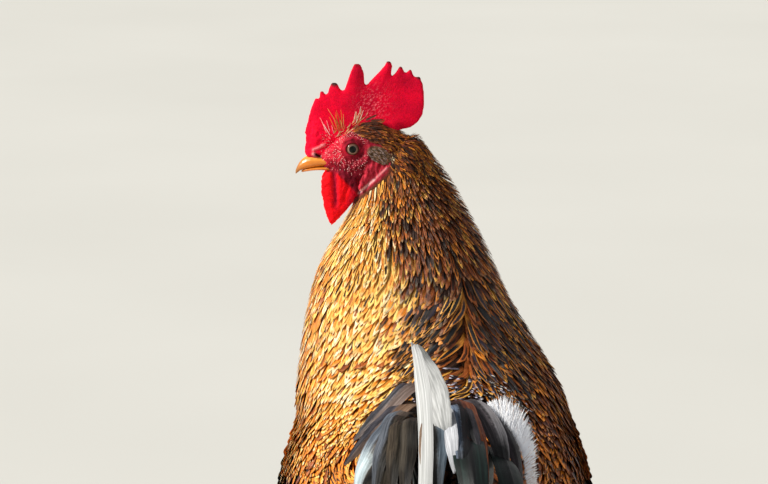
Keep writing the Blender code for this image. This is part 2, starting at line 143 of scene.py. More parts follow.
def mesh_from(name, points, quads, attributes, ring, rims):
    """A smooth mesh from arrays. attributes: name, kind and per-vertex values. Edges that run along the rims,
    which are places in each ring of points, are sharp."""
    mesh = bpy.data.meshes.new(name)
    mesh.vertices.add(len(points))
    mesh.vertices.foreach_set("co", points.astype(np.float32).ravel())
    mesh.loops.add(quads.size)
    mesh.loops.foreach_set("vertex_index", quads.astype(np.int32).ravel())
    mesh.polygons.add(len(quads))
    mesh.polygons.foreach_set("loop_start", np.arange(0, quads.size, quads.shape[1], dtype=np.int32))
    for label, kind, values in attributes:
        field = "color" if kind == "FLOAT_COLOR" else "vector"
        made = mesh.attributes.new(label, kind, "POINT")
        made.data.foreach_set(field, values.astype(np.float32).ravel())
    mesh.update(calc_edges=True)
    mesh.shade_smooth()
    ends = np.empty(len(mesh.edges) * 2, np.int32)
    mesh.edges.foreach_get("vertices", ends)
    place = ends.reshape(-1, 2) % ring
    sharp = (place[:, 0] == place[:, 1]) & np.isin(place[:, 0], rims)
    mesh.attributes.new("sharp_edge", "BOOLEAN", "EDGE").data.foreach_set("value", sharp)
    return mesh


# ---------------------------------------------------------------- materials

class Finish:
    """A node material in the making, with a Principled shader."""

    def __init__(self, name, **sockets):
        self.material = bpy.data.materials.new(name)
        self.material.use_nodes = True
        self.tree = self.material.node_tree
        self.shader = self.tree.nodes["Principled BSDF"]
        for socket, value in sockets.items():
            self.put(self.shader.inputs[socket.replace("_", " ")], value)

    def put(self, socket, value):
        if isinstance(value, bpy.types.NodeSocket):
            self.tree.links.new(value, socket)
        elif isinstance(value, tuple) and len(value) == 3 and socket.type == "RGBA":
            socket.default_value = (*value, 1)
        else:
            socket.default_value = value

    def node(self, kind, inputs=(), **settings):
        made = self.tree.nodes.new(kind)
        for key, value in settings.items():
            setattr(made, key, value)
        for key, value in dict(inputs).items():
            self.put(made.inputs[key], value)
        return made

    def attribute(self, name):
        return self.node("ShaderNodeAttribute", attribute_name=name)

    def place(self):
        return self.node("ShaderNodeTexCoord").outputs["Object"]

    def math(self, operation, a, b=0.0, c=0.0):
        return self.node("ShaderNodeMath", {0: a, 1: b, 2: c}, operation=operation).outputs[0]

    def span(self, value, low, high, start=0.0, end=1.0):
        """A soft step of the value between low and high, from start to end."""
        inputs = {"Value": value, "From Min": low, "From Max": high, "To Min": start, "To Max": end}
        return self.node("ShaderNodeMapRange", inputs, interpolation_type="SMOOTHSTEP").outputs["Result"]

    def mix(self, share, a, b):
        inputs = {("Factor", "VALUE"): share, ("A", "RGBA"): a, ("B", "RGBA"): b}
        made = self.tree.nodes.new("ShaderNodeMix")
        made.data_type = "RGBA"
        for socket in made.inputs:
            if (socket.name, socket.type) in inputs:
                self.put(socket, inputs[socket.name, socket.type])
        return next(s for s in made.outputs if s.type == "RGBA")

    def noise(self, scale, detail=2.0, vector=None, roughness=0.5):
        inputs = {"Scale": scale, "Detail": detail, "Roughness": roughness, "Vector": vector or self.place()}
        return self.node("ShaderNodeTexNoise", inputs).outputs["Fac"]

    def cells(self, scale, vector=None):
        inputs = {"Scale": scale, "Vector": vector or self.place()}
        return self.node("ShaderNodeTexVoronoi", inputs).outputs["Distance"]

    def bump(self, height, distance, strength=1.0):
        made = self.node("ShaderNodeBump", {"Height": height, "Distance": distance, "Strength": strength})
        self.put(self.shader.inputs["Normal"], made.outputs[0])

    def vector_math(self, operation, inputs, output=0):
        return self.node("ShaderNodeVectorMath", inputs, operation=operation).outputs[output]

    def colour(self, value, scale=None):
        """The shader's colour, multiplied by scale if there is one."""
        if scale is not None:
            value = self.vector_math("SCALE", {0: value, "Scale": scale})
        self.put(self.shader.inputs["Base Color"], value)

    def parts(self, vector):
        return self.node("ShaderNodeSeparateXYZ", {"Vector": vector}).outputs

    def vector(self, **parts):
        return self.node("ShaderNodeCombineXYZ", parts).outputs[0]


def feather_finish(name, roughness=0.5, gloss=0.35, streak=(0.50, 0.86), core=(0.30, 0.62), tip_from=0.90,
                   fade=0.045, barb_pitch=0.045, halves=False, **sockets):
    """Vanes: a ground colour, a dark mark along the shaft, a tip, hair-thin strands and slanting barbs.
    The mark is as wide as its strength says. With halves, it fills one half of the vane instead."""
    made = Finish(name, Roughness=roughness, Specular_IOR_Level=gloss, **sockets)
    across, along, chance = made.parts(made.attribute("vane").outputs["Vector"])
    side = made.math("ABSOLUTE", across)
    ragged = made.math("MULTIPLY_ADD", made.noise(520.0, 2.0), 0.5, -0.25)
    side_rough = made.math("ADD", side, ragged)
    along_rough = made.math("MULTIPLY_ADD", ragged, 0.22, along)
    fleck, tip = made.attribute("fleck").outputs, made.attribute("tip").outputs
    wide = fleck["Alpha"]
    inner = made.math("MULTIPLY", wide, core[0])
    outer = made.math("MULTIPLY_ADD", wide, core[1], 0.05)
    dark = made.math("MULTIPLY", made.span(side_rough, inner, outer, 1.0, 0.0),
                     made.span(along_rough, streak[1] - 0.04, streak[1] + 0.04, 1.0, 0.0))
    dark = made.math("MULTIPLY", dark, made.span(along_rough, streak[0] - 0.2, streak[0], 0.0, 1.0))
    if halves:
        dark = made.span(made.math("ADD", across, ragged), -0.25, 0.25)
    shown = made.math("MULTIPLY", dark, made.span(wide, 0.0, 0.3))
    colour = made.mix(shown, made.attribute("ground").outputs["Color"], fleck["Color"])
    at_tip = made.math("MULTIPLY", made.span(along_rough, tip_from - fade, tip_from + fade),
                       made.span(side, 0.4, 1.1, 1.0, 0.45))
    colour = made.mix(made.math("MULTIPLY", at_tip, tip["Alpha"]), colour, tip["Color"])
    own_place = made.vector(X=made.math("MULTIPLY_ADD", chance, 40.0, across),
                            Y=made.math("MULTIPLY", along, 0.7), Z=chance)
    strands = made.noise(5.0, 3.0, own_place, 0.7)
    slant = made.math("MULTIPLY_ADD", side, 0.20, along)
    barbs = made.math("SINE", made.math("MULTIPLY", slant, 2 * math.pi / barb_pitch))
    shade = made.math("MULTIPLY_ADD", strands, 1.5, made.math("MULTIPLY_ADD", barbs, 0.05, 0.25))
    depth = made.span(strands, 0.35, 0.65, 1.3, 0.92)
    made.colour(made.node("ShaderNodeGamma", {"Color": colour, "Gamma": depth}).outputs[0], shade)
    made.bump(made.math("MULTIPLY_ADD", strands, 2.0, barbs), 0.00012, 0.6)
    return made.material


# ---------------------------------------------------------------- the form that the coat follows

class Surface:
    """A closed form that answers where its nearest point lies and which way it faces there."""

    def __init__(self, mesh):
        self.mesh = mesh
        self.points = coordinates(mesh)
        mesh.calc_loop_triangles()
        corners = np.empty(len(mesh.loop_triangles) * 3, np.int32)
        mesh.loop_triangles.foreach_get("vertices", corners)
        self.triangles = corners.reshape(-1, 3)
        a, b, c = (self.points[self.triangles[:, k]] for k in range(3))
        cross = np.cross(b - a, c - a)
        self.areas = np.linalg.norm(cross, axis=1) / 2
        normals = np.zeros_like(self.points)
        for k in range(3):
            np.add.at(normals, self.triangles[:, k], cross)
        self.point_normals = unit(normals)
        self.normals = unit(self.point_normals[self.triangles].sum(axis=1))
        self.tree = BVHTree.FromPolygons(self.points.tolist(), self.triangles.tolist())
        self.homes = np.zeros(len(self.points), int)

    def nearest(self, points):
        found = [self.tree.find_nearest(p)[::2] for p in points.tolist()]
        places = np.array([tuple(f[0]) for f in found])
        return places, self.normals[[f[1] for f in found]]

    def scatter(self, count):
        """Random places, evenly spread, with the normals there."""
        chosen = RNG.choice(len(self.areas), count, p=self.areas / self.areas.sum())
        u, v = RNG.random(count), RNG.random(count)
        u, v = np.where(u + v > 1, 1 - u, u), np.where(u + v > 1, 1 - v, v)
        a, b, c = (self.points[self.triangles[chosen, k]] for k in range(3))
        places = a + (b - a) * u[:, None] + (c - a) * v[:, None]
        return places, self.normals[chosen], self.homes[self.triangles[chosen, 0]]


SAME_POINT = 0.00002  # CAD points nearer than this are one
CLOSING = 0.0011  # how far CAD nodes grow, so that the cuts between them close


def welded(names, grow=0.0):
    """The CAD nodes in one mesh, each grown by a distance."""
    parts = []
    for name in names:
        part = bmesh.new()
        part.from_mesh(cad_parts[name].data)
        bmesh.ops.remove_doubles(part, verts=part.verts, dist=SAME_POINT)
        bmesh.ops.recalc_face_normals(part, faces=part.faces)
        part.normal_update()
        for vert in part.verts:
            vert.co += vert.normal * grow
        parts.append(mesh_of(part, "part"))
    return joined(parts)


def remeshed(mesh, voxel, rounds):
    """The mesh as one closed skin of even faces, smoothed."""
    obj = link("remesh", mesh)
    unite = obj.modifiers.new("unite", "REMESH")
    unite.mode = "VOXEL"
    unite.voxel_size = voxel
    soften = obj.modifiers.new("soften", "SMOOTH")
    soften.factor = 0.5
    soften.iterations = rounds
    bpy.context.view_layer.update()
    graph = bpy.context.evaluated_depsgraph_get()
    made = bpy.data.meshes.new_from_object(obj.evaluated_get(graph))
    bpy.data.objects.remove(obj)
    return made


spine_points = curve_through(SPINE, 240)
spine_ahead = unit(np.gradient(spine_points, axis=0))
BLOCK = 4000  # points measured at a time, to save memory


def on_spine(points):
    """For each point: how far along the spine it lies, from 0 to 1, the spine's direction there, and the way
    out to the point."""
    nearest = np.empty(len(points), int)
    for start in range(0, len(points), BLOCK):
        block = points[start:start + BLOCK]
        gaps = ((block[:, None] - spine_points[None]) ** 2).sum(axis=2)
        nearest[start:start + BLOCK] = gaps.argmin(axis=1)
    return nearest / (len(spine_points) - 1), spine_ahead[nearest], points - spine_points[nearest]


def unwrapped(points):
    """Where the skin's own unwrap puts a point: round the spine across and along it upwards, with the legs
    above, opened out round the shank, from the tips of the toes to the hock."""
    along, ahead, out = on_spine(points)
    steep = np.abs(ahead[:, 2:3]) > 0.5
    side = unit(np.cross(ahead, np.array((0.0, 1.0, 0.0001)) * steep + UP * ~steep))
    top = np.cross(side, ahead)
    turn = np.arctan2((out * side).sum(axis=1), (out * top).sum(axis=1))
    body = np.stack([0.5 + turn / (2 * math.pi) * 0.96, 0.02 + 0.80 * along], axis=1)
    from_foot = points - np.where(points[:, :1] > 0, FOOT, FOOT * (-1, 1, 1))
    reach = np.where(points[:, 2] > 0.02, from_foot[:, 2], -np.hypot(from_foot[:, 0], from_foot[:, 1]))
    round_leg = np.arctan2(from_foot[:, 0], from_foot[:, 1] - 0.35 * np.maximum(from_foot[:, 2], 0))
    leg = np.stack([0.02 + 0.46 * np.clip((reach + 0.085) / 0.25, 0, 1) + 0.5 * (points[:, 0] < 0),
                    0.91 + 0.07 * round_leg / math.pi], axis=1)
    return np.where((points[:, 2] < LEG_TOP)[:, None], leg, body)


# ---------------------------------------------------------------- feathers

def tapered(rise, end, taper, power):
    """A width along a feather, from 0 to 1, that rises over the first part and tapers off to its end."""
    start, full = rise
    return lambda s: np.minimum(1, (s + start) / full) * np.clip((end - s) / taper, 0, 1) ** power


def stepped(places, widths):
    """A width along a feather, from 0 to 1, that runs straight from one given place to the next."""
    return lambda s: np.interp(s, places, widths)


PROFILES = {
    "pointed": tapered((0.10, 0.35), 1.02, 0.30, 0.65),
    "blunt": tapered((0.10, 0.35), 1.01, 0.20, 0.55),
    "sickle": tapered((0.10, 0.30), 1.02, 0.45, 0.7),
    "round": tapered((0.12, 0.35), 1.01, 0.30, 0.5),
    "strap": tapered((0.08, 0.25), 1.01, 0.16, 0.5),
    "plate": lambda s: 0.92 * np.clip((1.10 - s) / 0.5, 0, 1) ** 0.35,
    "bent": stepped((0, 0.08, 0.40, 0.46, 0.60, 0.90, 1), (0.4, 0.5, 0.30, 0.12, 0.40, 0.34, 0.05)),
    "leaf": stepped((0, 0.12, 0.3, 0.5, 0.7, 0.87, 1), (0.15, 0.42, 0.76, 0.88, 0.68, 0.40, 0.03)),
}


def draped(surface, roots, steps, segments, direction):
    """Walks from each root over the surface. steps are the lengths of one segment.
    direction(points, normals, share) says which way a feather runs there."""
    places, normals = surface.nearest(roots)
    line, facing, ahead = [places], [normals], []
    for k in range(segments):
        way = direction(places, normals, k / segments)
        way = unit(way - normals * (way * normals).sum(axis=1, keepdims=True))
        ahead.append(way)
        places, normals = surface.nearest(places + way * steps[:, None])
        line.append(places)
        facing.append(normals)
    ahead.append(ahead[-1])
    return np.stack(line, axis=1), np.stack(facing, axis=1), np.stack(ahead, axis=1)


NARROWEST = 0.00012  # half of the least width of a vane


def vanes(line, facing, ahead, widths, profile, sink, lift, crown=0.10, ragged=0.08, thick=0.00035):
    """The rings of closed vanes along lines: a raised shaft, two lower edges and an underside.
    sink is the root's depth under the line and lift the tip's height over it."""
    count, stations = line.shape[:2]
    share = np.linspace(0, 1, stations)
    rise = -sink[:, None] + (sink + lift)[:, None] * share[None] ** 0.85
    side = unit(np.cross(facing, ahead))
    half = 0.5 * widths[:, None] * PROFILES[profile](share)[None]
    half = half * (1 - ragged * RNG.random((count, stations)))
    half = np.maximum(half, NARROWEST)
    middle = line + facing * rise[..., None]
    edge_drop = facing * (crown * half)[..., None]
    left = middle - side * half[..., None] - edge_drop
    right = middle + side * half[..., None] - edge_drop
    under = middle - facing * np.minimum(thick, crown * half + 0.0001)[..., None]
    return np.stack([left, middle, right, under], axis=2)


def ring_faces(count, stations, ring, corner):
    """Quads of closed vanes whose rings run out along the top and back along the underside, ends included.
    corner: which corner each quad starts from, and so how it is cut into triangles."""
    place = np.arange(ring)
    after = (place + 1) % ring
    first = (np.arange(stations - 1) * ring)[:, None]
    walls = np.stack([first + place, first + ring + place, first + ring + after, first + after], axis=2)
    strip = np.arange(ring // 2 - 1)
    cap = np.stack([strip, strip + 1, ring - 2 - strip, ring - 1 - strip], axis=1)
    walls = np.roll(walls.reshape(-1, 4), -corner, axis=1)
    one = np.concatenate([walls, cap, cap[:, ::-1] + (stations - 1) * ring])
    return (one[None] + (np.arange(count) * stations * ring)[:, None, None]).reshape(-1, 4)


def add_bake_map(mesh, roots, stations, across, size):
    """The map OFBake: each vane is a small patch at its root's place on the skin's own unwrap."""
    centre = unwrapped(roots)
    share = np.linspace(-0.5, 0.5, stations)
    patch = np.stack(np.broadcast_arrays(across[None, :], share[:, None]), axis=2).reshape(1, -1, 2) * size
    flat = (centre[:, None] + patch).reshape(-1, 2)
    corners = np.empty(len(mesh.loops), np.int32)
    mesh.loops.foreach_get("vertex_index", corners)
    layer = mesh.uv_layers.new(name="OFBake")
    layer.uv.foreach_set("vector", flat[corners].astype(np.float32).ravel())


def vane_piece(name, material, slot, rings, across, rims, roots, colours, patch, corner=0):
    """One object of many vanes. rings: points by vane, station and place in the ring. across: how far from
    the shaft each place is. colours: ground, fleck and tip, each (count, 4)."""
    count, stations, ring = rings.shape[:3]
    vane = np.empty(rings.shape)
    vane[..., 0] = across
    vane[..., 1] = np.linspace(0, 1, stations)[:, None]
    vane[..., 2] = RNG.random(count)[:, None, None]
    attributes = [("vane", "FLOAT_VECTOR", vane)]
    for label, values in zip(("ground", "fleck", "tip"), colours):
        attributes.append((label, "FLOAT_COLOR", np.repeat(values, stations * ring, axis=0)))
    faces = ring_faces(count, stations, ring, corner)
    mesh = mesh_from(name, rings.reshape(-1, 3), faces, attributes, ring, rims)
    add_bake_map(mesh, roots, stations, across / 2, patch)
    return hand_over(link(name, mesh, material), slot)


FEATHER_PATCH = 0.003  # a small feather's share of the bake map
PLUME_PATCH = 0.009  # a large feather's


def feather_piece(name, material, slot, lines, widths, profile, sink, lift, colours, **shape):
    """One object of many small feathers along lines."""
    rings = vanes(*lines, widths, profile, sink, lift, **shape)
    across = np.array((-1.0, 0.0, 1.0, 0.0))
    return vane_piece(name, material, slot, rings, across, (0, 2), lines[0][:, 0], colours, FEATHER_PATCH, 1)


def by_place(value, points):
    """A value for each point, from a function of place or one number for all."""
    return value(points) if callable(value) else np.full(len(points), value)


NEIGHBOURS = [(x, y, z) for x in (-1, 0, 1) for y in (-1, 0, 1) for z in (-1, 0, 1)]


def spread(surface, spacing, inside, tries=90000):
    """Roots on the surface where inside(points, normals, homes) is true, no two nearer than their spacing."""
    points, normals, homes = surface.scatter(tries)
    keep = inside(points, normals, homes)
    points, normals = points[keep], normals[keep]
    gaps = by_place(spacing, points)
    cell = float(gaps.max())
    grid = {}
    chosen = []
    for i, (p, gap) in enumerate(zip(points.tolist(), gaps.tolist())):
        x, y, z = (int(value // cell) for value in p)
        around = (q for i, j, k in NEIGHBOURS for q in grid.get((x + i, y + j, z + k), ()))
        if all(math.dist(p, q) >= gap for q in around):
            grid.setdefault((x, y, z), []).append(p)
            chosen.append(i)
    return points[chosen], normals[chosen]


def shades(count, colour, vary, alpha=1.0):
    """A colour for each of count feathers, lighter or darker by up to vary, with a strength in alpha."""
    made = np.empty((count, 4))
    made[:, :3] = np.array(colour) * (1 + vary * (2 * RNG.random((count, 1)) - 1))
    made[:, 3] = alpha
    return made


def blend_colours(a, b, share):
    share = np.asarray(share)[:, None]
    return a * (1 - share) + b * share


# ---------------------------------------------------------------- the flow of the coat

PARTING_X = -0.028
PARTING_TOP = 0.462  # the height at which the cape starts to part
PARTING_FULL = 0.405  # the height from which it is fully parted


def flow(points, normals):
    """Which way feathers lie: along the spine, and parted over the shoulders behind the neck."""
    _, ahead, _ = on_spine(points)
    way = unit(ahead - normals * (ahead * normals).sum(axis=1, keepdims=True))
    rear = smooth_step(-0.1, 0.5, normals[:, 1])
    low = smooth_step(PARTING_TOP, PARTING_FULL, points[:, 2]) * smooth_step(0.285, 0.345, points[:, 2])
    offset = points[:, 0] - PARTING_X
    to_left = np.tan(math.radians(48)) * np.clip(1 - offset / 0.15, 0, 1)
    to_right = -np.tan(math.radians(22)) * np.clip(1 + offset / 0.12, 0, 1)
    lean = np.where(offset > 0, to_left, to_right) * smooth_step(0.0, 0.008, np.abs(offset))
    sideways = np.zeros_like(points)
    sideways[:, 0] = lean * rear * low
    return way + sideways


# ---------------------------------------------------------------- the head's own measures

def head_frame(points):
    """Forward of, to the left of, and above the head's middle, in millimetres. Heights go by SIDE_SLOPE."""
    forward, side, up = ((points - HEAD) / MM).T
    return forward, side, (up + 0.8 - SIDE_SLOPE * np.abs(side)) / 1.02


def feathered(points):
    """How far, in millimetres, a point lies inside the feathers. It is negative on the bare face."""
    forward, _, up = head_frame(points)
    crown = 0.92 * (up - 12.3 - 0.43 * forward)
    return np.maximum(crown, 0.73 * (np.interp(up, *zip(*FACE_EDGE)) - forward))


# Where the feathers start behind the face: up, forward
FACE_EDGE = [(-200, 147), (-57, 13), (-37.7, -4.1), (-29.9, -15.5), (-20.9, -26.5), (-12, -30.5), (-2, -29.5)]


def in_ear_tuft(forward, up):
    """Under 1 inside the oval of the ear's feathers."""
    return ((forward + 21) / 8.5) ** 2 + ((up + 4.6 - 0.25 * (forward + 21)) / 6.2) ** 2


def noise_at(points, scale, shift=0.0):
    """Smooth noise between about -0.5 and 0.5 at each point."""
    return np.array([noise.noise(place) for place in (points * scale + shift).tolist()])


def distance_to(names, points):
    """How far each point lies from the named CAD nodes."""
    tree = Surface(welded(names)).tree
    return np.array([tree.find_nearest(p)[3] for p in points.tolist()])


# ---------------------------------------------------------------- the skin

SKIN_VOXEL = 0.00086
HEAD_VOXEL = 0.0012
BILL_VOXEL = 0.0005
FEATHER_DEPTH = 0.0058
NECK_CUT = (Vector((0.030, 0.0, 0.4797)), Vector((0.452, 0.0, 0.892)))  # its place and the way it faces


def flap(name, head_form, edge, middle, reach, bend, rounds=2):
    """The comb, a wattle or an earlobe: thin at its free edge, thick inside, and bent."""
    form = Surface(remeshed(welded([name]), SKIN_VOXEL, rounds))
    centre = form.points.mean(axis=0)
    axis = np.linalg.svd(form.points - centre, full_matrices=False)[2][2]
    axis = axis * np.sign(axis[1])
    offset = (form.points - centre) @ axis
    flat = form.points - np.outer(offset, axis)
    free = np.abs(form.point_normals @ axis) < 0.6
    rim = flat[free]
    to_head = np.linalg.norm(head_form.nearest(form.points[free])[0] - form.points[free], axis=1)
    rim = rim[to_head > 0.0035]
    tree = KDTree(len(rim))
    for k, point in enumerate(rim.tolist()):
        tree.insert(point, k)
    tree.balance()
    inset = np.array([tree.find(p)[2] for p in flat.tolist()])
    half = edge + (middle - edge) * (1 - np.exp(-inset / reach))
    offset = offset / np.percentile(np.abs(offset), 90) * half + bend(*head_frame(form.points), inset) * MM
    return moved(form.mesh, flat + np.outer(offset, axis))


def comb_bend(forward, side, up, inset):
    """The comb's slow waves, stronger towards its top, and the swelling of its foot."""
    height = smooth_step(5, 60, up)
    waves = 1.3 * np.sin(forward / 15 + up / 40) + 0.5 * np.sin(forward / 5.2 + 1.0)
    foot = 3.4 * smooth_step(30, 8, up) * smooth_step(-52, -30, forward) * smooth_step(40, 28, forward)
    return height * waves + np.sign(side) * foot * smooth_step(0.0, 0.008, inset)


def wattle_bend(forward, side, up, inset):
    """Two swellings with a crease between them, and a rolled rear edge."""
    crease = np.exp(-((forward - 13.5 - 0.04 * (up + 20)) / 2.2) ** 2) * smooth_step(-54, -40, up)
    rear = np.exp(-((forward - 1.5 + 0.30 * (up + 24)) / 1.6) ** 2) * smooth_step(-50, -42, up)
    return np.sign(side) * (1.2 * (1 - np.exp(-inset / 0.006)) - 2.0 * crease - 1.0 * rear)


def lobe_bend(forward, side, up, inset):
    """A dished middle inside a raised rim."""
    rim = np.exp(-((inset - 0.0022) / 0.0012) ** 2)
    return np.sign(side) * (0.9 * rim - 0.6 * smooth_step(0.003, 0.006, inset))


def skin_depth(points):
    """How deep the skin lies under the outline of the feathers."""
    inside = feathered(points)
    _, _, up = head_frame(points)
    return MM * (1.8 * smooth_step(0, 6, inside) + 4.2 * smooth_step(6, 25, inside) * smooth_step(0, -20, up))


# Lines on the side of the head: start, end and half width
NOSTRIL = ((25.0, -5.9), (28.2, -4.4), 1.1)
NOSE_LID = ((29.2, -4.9), (30.2, -3.8), 1.3)
NOSE_FOLD = ((30.4, -0.6), (21.8, 3.2), 1.0)
# Along the earlobe's lower rim: a painted highlight, bright in front and fainter behind.
LOBE_RIM_HIGHLIGHT = ((-5.5, -35.0), (-17.5, -24.8), 0.9)
LOBE_REAR_RIM_HIGHLIGHT = ((-17.5, -24.8), (-27.5, -15.5), 0.8)


def bar(forward, up, start, end, width):
    """1 along a line on the head's side, fading out over its width."""
    start, end = np.array(start), np.array(end)
    run = end - start
    along = np.clip(((forward - start[0]) * run[0] + (up - start[1]) * run[1]) / (run @ run), 0, 1)
    away = np.hypot(forward - start[0] - along * run[0], up - start[1] - along * run[1])
    return np.exp(-(away / width) ** 2)


def swelling(centre, radii):
    """A rounded mass of flesh, by the head's own measures."""
    shape = bmesh.new()
    bmesh.ops.create_uvsphere(shape, u_segments=48, v_segments=24, radius=1)
    mesh = mesh_of(shape, "swelling")
    return moved(mesh, HEAD + (coordinates(mesh) * radii + centre) * MM)


# How far out the lids stand, in millimetres, by the distance from the eye's centre
LID_DISTANCE = (0.0, 4.1, 4.6, 5.3, 6.2, 7.2, 8.6, 11.0)
LID_DEPTH = (10.5, 11.5, 15.9, 16.8, 16.3, 15.4, 15.3, 15.2)


def shape_face(points, normals):
    """Lids, brow, nostril folds, cheek creases and fine wrinkles."""
    forward, side, up = head_frame(points)
    bare = smooth_step(2.0, -2.0, feathered(points))
    sign = np.sign(side)
    depth = side * sign
    at_eye = (points - EYE) / MM
    eye_distance = np.hypot(at_eye[:, 0] / 1.06, at_eye[:, 2] / 0.97)
    profile = np.interp(eye_distance, LID_DISTANCE, LID_DEPTH)
    near = smooth_step(11.5, 8.0, eye_distance) * (depth > 7)
    brow = 1.5 * np.exp(-((up - 8.6 - 0.12 * forward) / 2.4) ** 2) * smooth_step(-13, -6, forward)
    brow = brow * smooth_step(13, 7, forward)
    fold = 1.1 * np.exp(-((np.hypot(forward + 1, up + 1) - 13.5) / 1.5) ** 2) * (forward < 0) * (up < 8)
    depth = depth * (1 - near) + profile * near + (brow + fold * (1 - near)) * (depth > 7)
    nose = 1.1 * bar(forward, up, *NOSE_FOLD) + 1.2 * bar(forward, up, *NOSE_LID)
    nose = nose - 2.2 * bar(forward, up, *NOSTRIL)
    depth = depth + nose * smooth_step(1.5, 3.0, depth)
    shaped = np.array(points)
    shaped[:, 1] = EYE[1] + sign * depth * MM
    cheek = smooth_step(-4, -12, up) * smooth_step(20, 8, forward) * smooth_step(-36, -28, up)
    creases = np.sin(forward * 1.5 + 3.0 * noise_at(points, 120, 5.0)) * 0.28 * cheek
    fine = 0.42 * noise_at(points, 420) + 0.30 * noise_at(points, 900, 9.0)
    lid = smooth_step(8.0, 6.5, eye_distance) * (depth > 7)
    return shaped + normals * (bare * (1 - lid) * (creases + fine) * MM)[:, None]


# The comb's darker points: forward, up, reach in millimetres, and colour
COMB_TIPS = [
    (23.4, 46.4, 2.5, (0.35, 0.02, 0.03)), (13.6, 53.0, 5.2, (0.05, 0.018, 0.016)),
    (-4.4, 67.8, 4.0, (0.30, 0.008, 0.014)), (-29.2, 70.0, 3.6, (0.12, 0.012, 0.014)),
    (-38.6, 65.6, 3.4, (0.22, 0.010, 0.014)), (-46.2, 63.2, 3.2, (0.22, 0.010, 0.014)),
    (-53.2, 57.6, 3.8, (0.07, 0.012, 0.014)),
]


def cut_open(mesh, keep_above):
    """The part of a mesh above or below the neck's cut, open there."""
    part = bmesh.new()
    part.from_mesh(mesh)
    place, facing = NECK_CUT
    everything = part.verts[:] + part.edges[:] + part.faces[:]
    bmesh.ops.bisect_plane(part, geom=everything, plane_co=place, plane_no=facing, clear_inner=keep_above,
                           clear_outer=not keep_above)
    return mesh_of(part, "open")


SKIN_BROWN = (0.10, 0.035, 0.015)  # under the feathers
SPECK_RED = (0.92, 0.13, 0.17)  # fine specks on the comb
PALE_RIM_AND_HIGHLIGHT_PINK = (0.86, 0.50, 0.50)  # the pale folds by the nostril, and a painted highlight along the earlobe's rim
# Near black inside the nostril: painted shade in its opening.
NOSTRIL_SHADE_DARK = (0.02, 0.006, 0.004)


def opaque(colour):
    return np.array((*colour, 1.0))


def toned(dark, light, share):
    """Colours between two, by a share for each point."""
    return blend_colours(opaque(dark), opaque(light), np.clip(share, 0, 1))


def face_red_and_painted_light(points, mottle):
    """Red flesh, brighter before the eye as painted sunlight, and darker on the cheek as painted shade."""
    forward, _, up = head_frame(points)
    red = toned((0.13, 0.004, 0.010), (0.33, 0.011, 0.028), mottle)
    # Painted sunlight on the front of the face, which faces the sun.
    front = smooth_step(0, 12, forward) * smooth_step(-16, -4, up)
    red = blend_colours(red, toned((0.52, 0.008, 0.024), (0.84, 0.025, 0.055), mottle), 0.7 * front)
    # Painted shade on the cheek below the eye, between the earlobe and the wattle.
    cheek = smooth_step(-12, -20, up) * smooth_step(14, 6, forward) * smooth_step(-20, -10, forward)
    return blend_colours(red, toned((0.10, 0.004, 0.012), (0.28, 0.012, 0.030), mottle), 0.8 * cheek)


def comb_tint(points):
    """The comb's red, brighter towards the front as painted sunlight, with fine specks over the crown and
    darker points.
    """
    forward, _, up = head_frame(points)
    # The rise of the red towards the front is painted sunlight.
    share = 0.5 + noise_at(points, 70, 2.0) + 0.5 * smooth_step(-20, 30, forward)
    red = toned((0.58, 0.001, 0.026), (0.86, 0.001, 0.030), share)
    specks = smooth_step(0.16, 0.34, noise_at(points, 1500, 2.0))
    specks = specks * np.exp(-((forward + 17) ** 2 + (up - 36) ** 2) / 12 ** 2)
    red = blend_colours(red, opaque(SPECK_RED), specks)
    for tip_forward, tip_up, reach, shade in COMB_TIPS:
        close = smooth_step(reach, 0.45 * reach, np.hypot(forward - tip_forward, up - tip_up))
        red = blend_colours(red, opaque(shade), close)
    return red


def wattle_red_and_painted_shade(points):
    """Scarlet, with painted shade in the crease and along the rear edge."""
    forward, _, up = head_frame(points)
    # Painted shade in the crease and along the rear edge, which faces away from the sun.
    crease = np.exp(-((forward - 13.5 - 0.04 * (up + 20)) / 2.0) ** 2) * smooth_step(-52, -40, up)
    rear = smooth_step(3.0, -1.0, forward + 0.25 * (up + 34))
    return toned((0.88, 0.004, 0.010), (0.34, 0.006, 0.035), 0.8 * crease + 0.5 * rear)


def close_to(names, far, close, points):
    """1 on the named CAD nodes, fading to 0 at the far distance from them."""
    return smooth_step(far, close, distance_to(names, points))


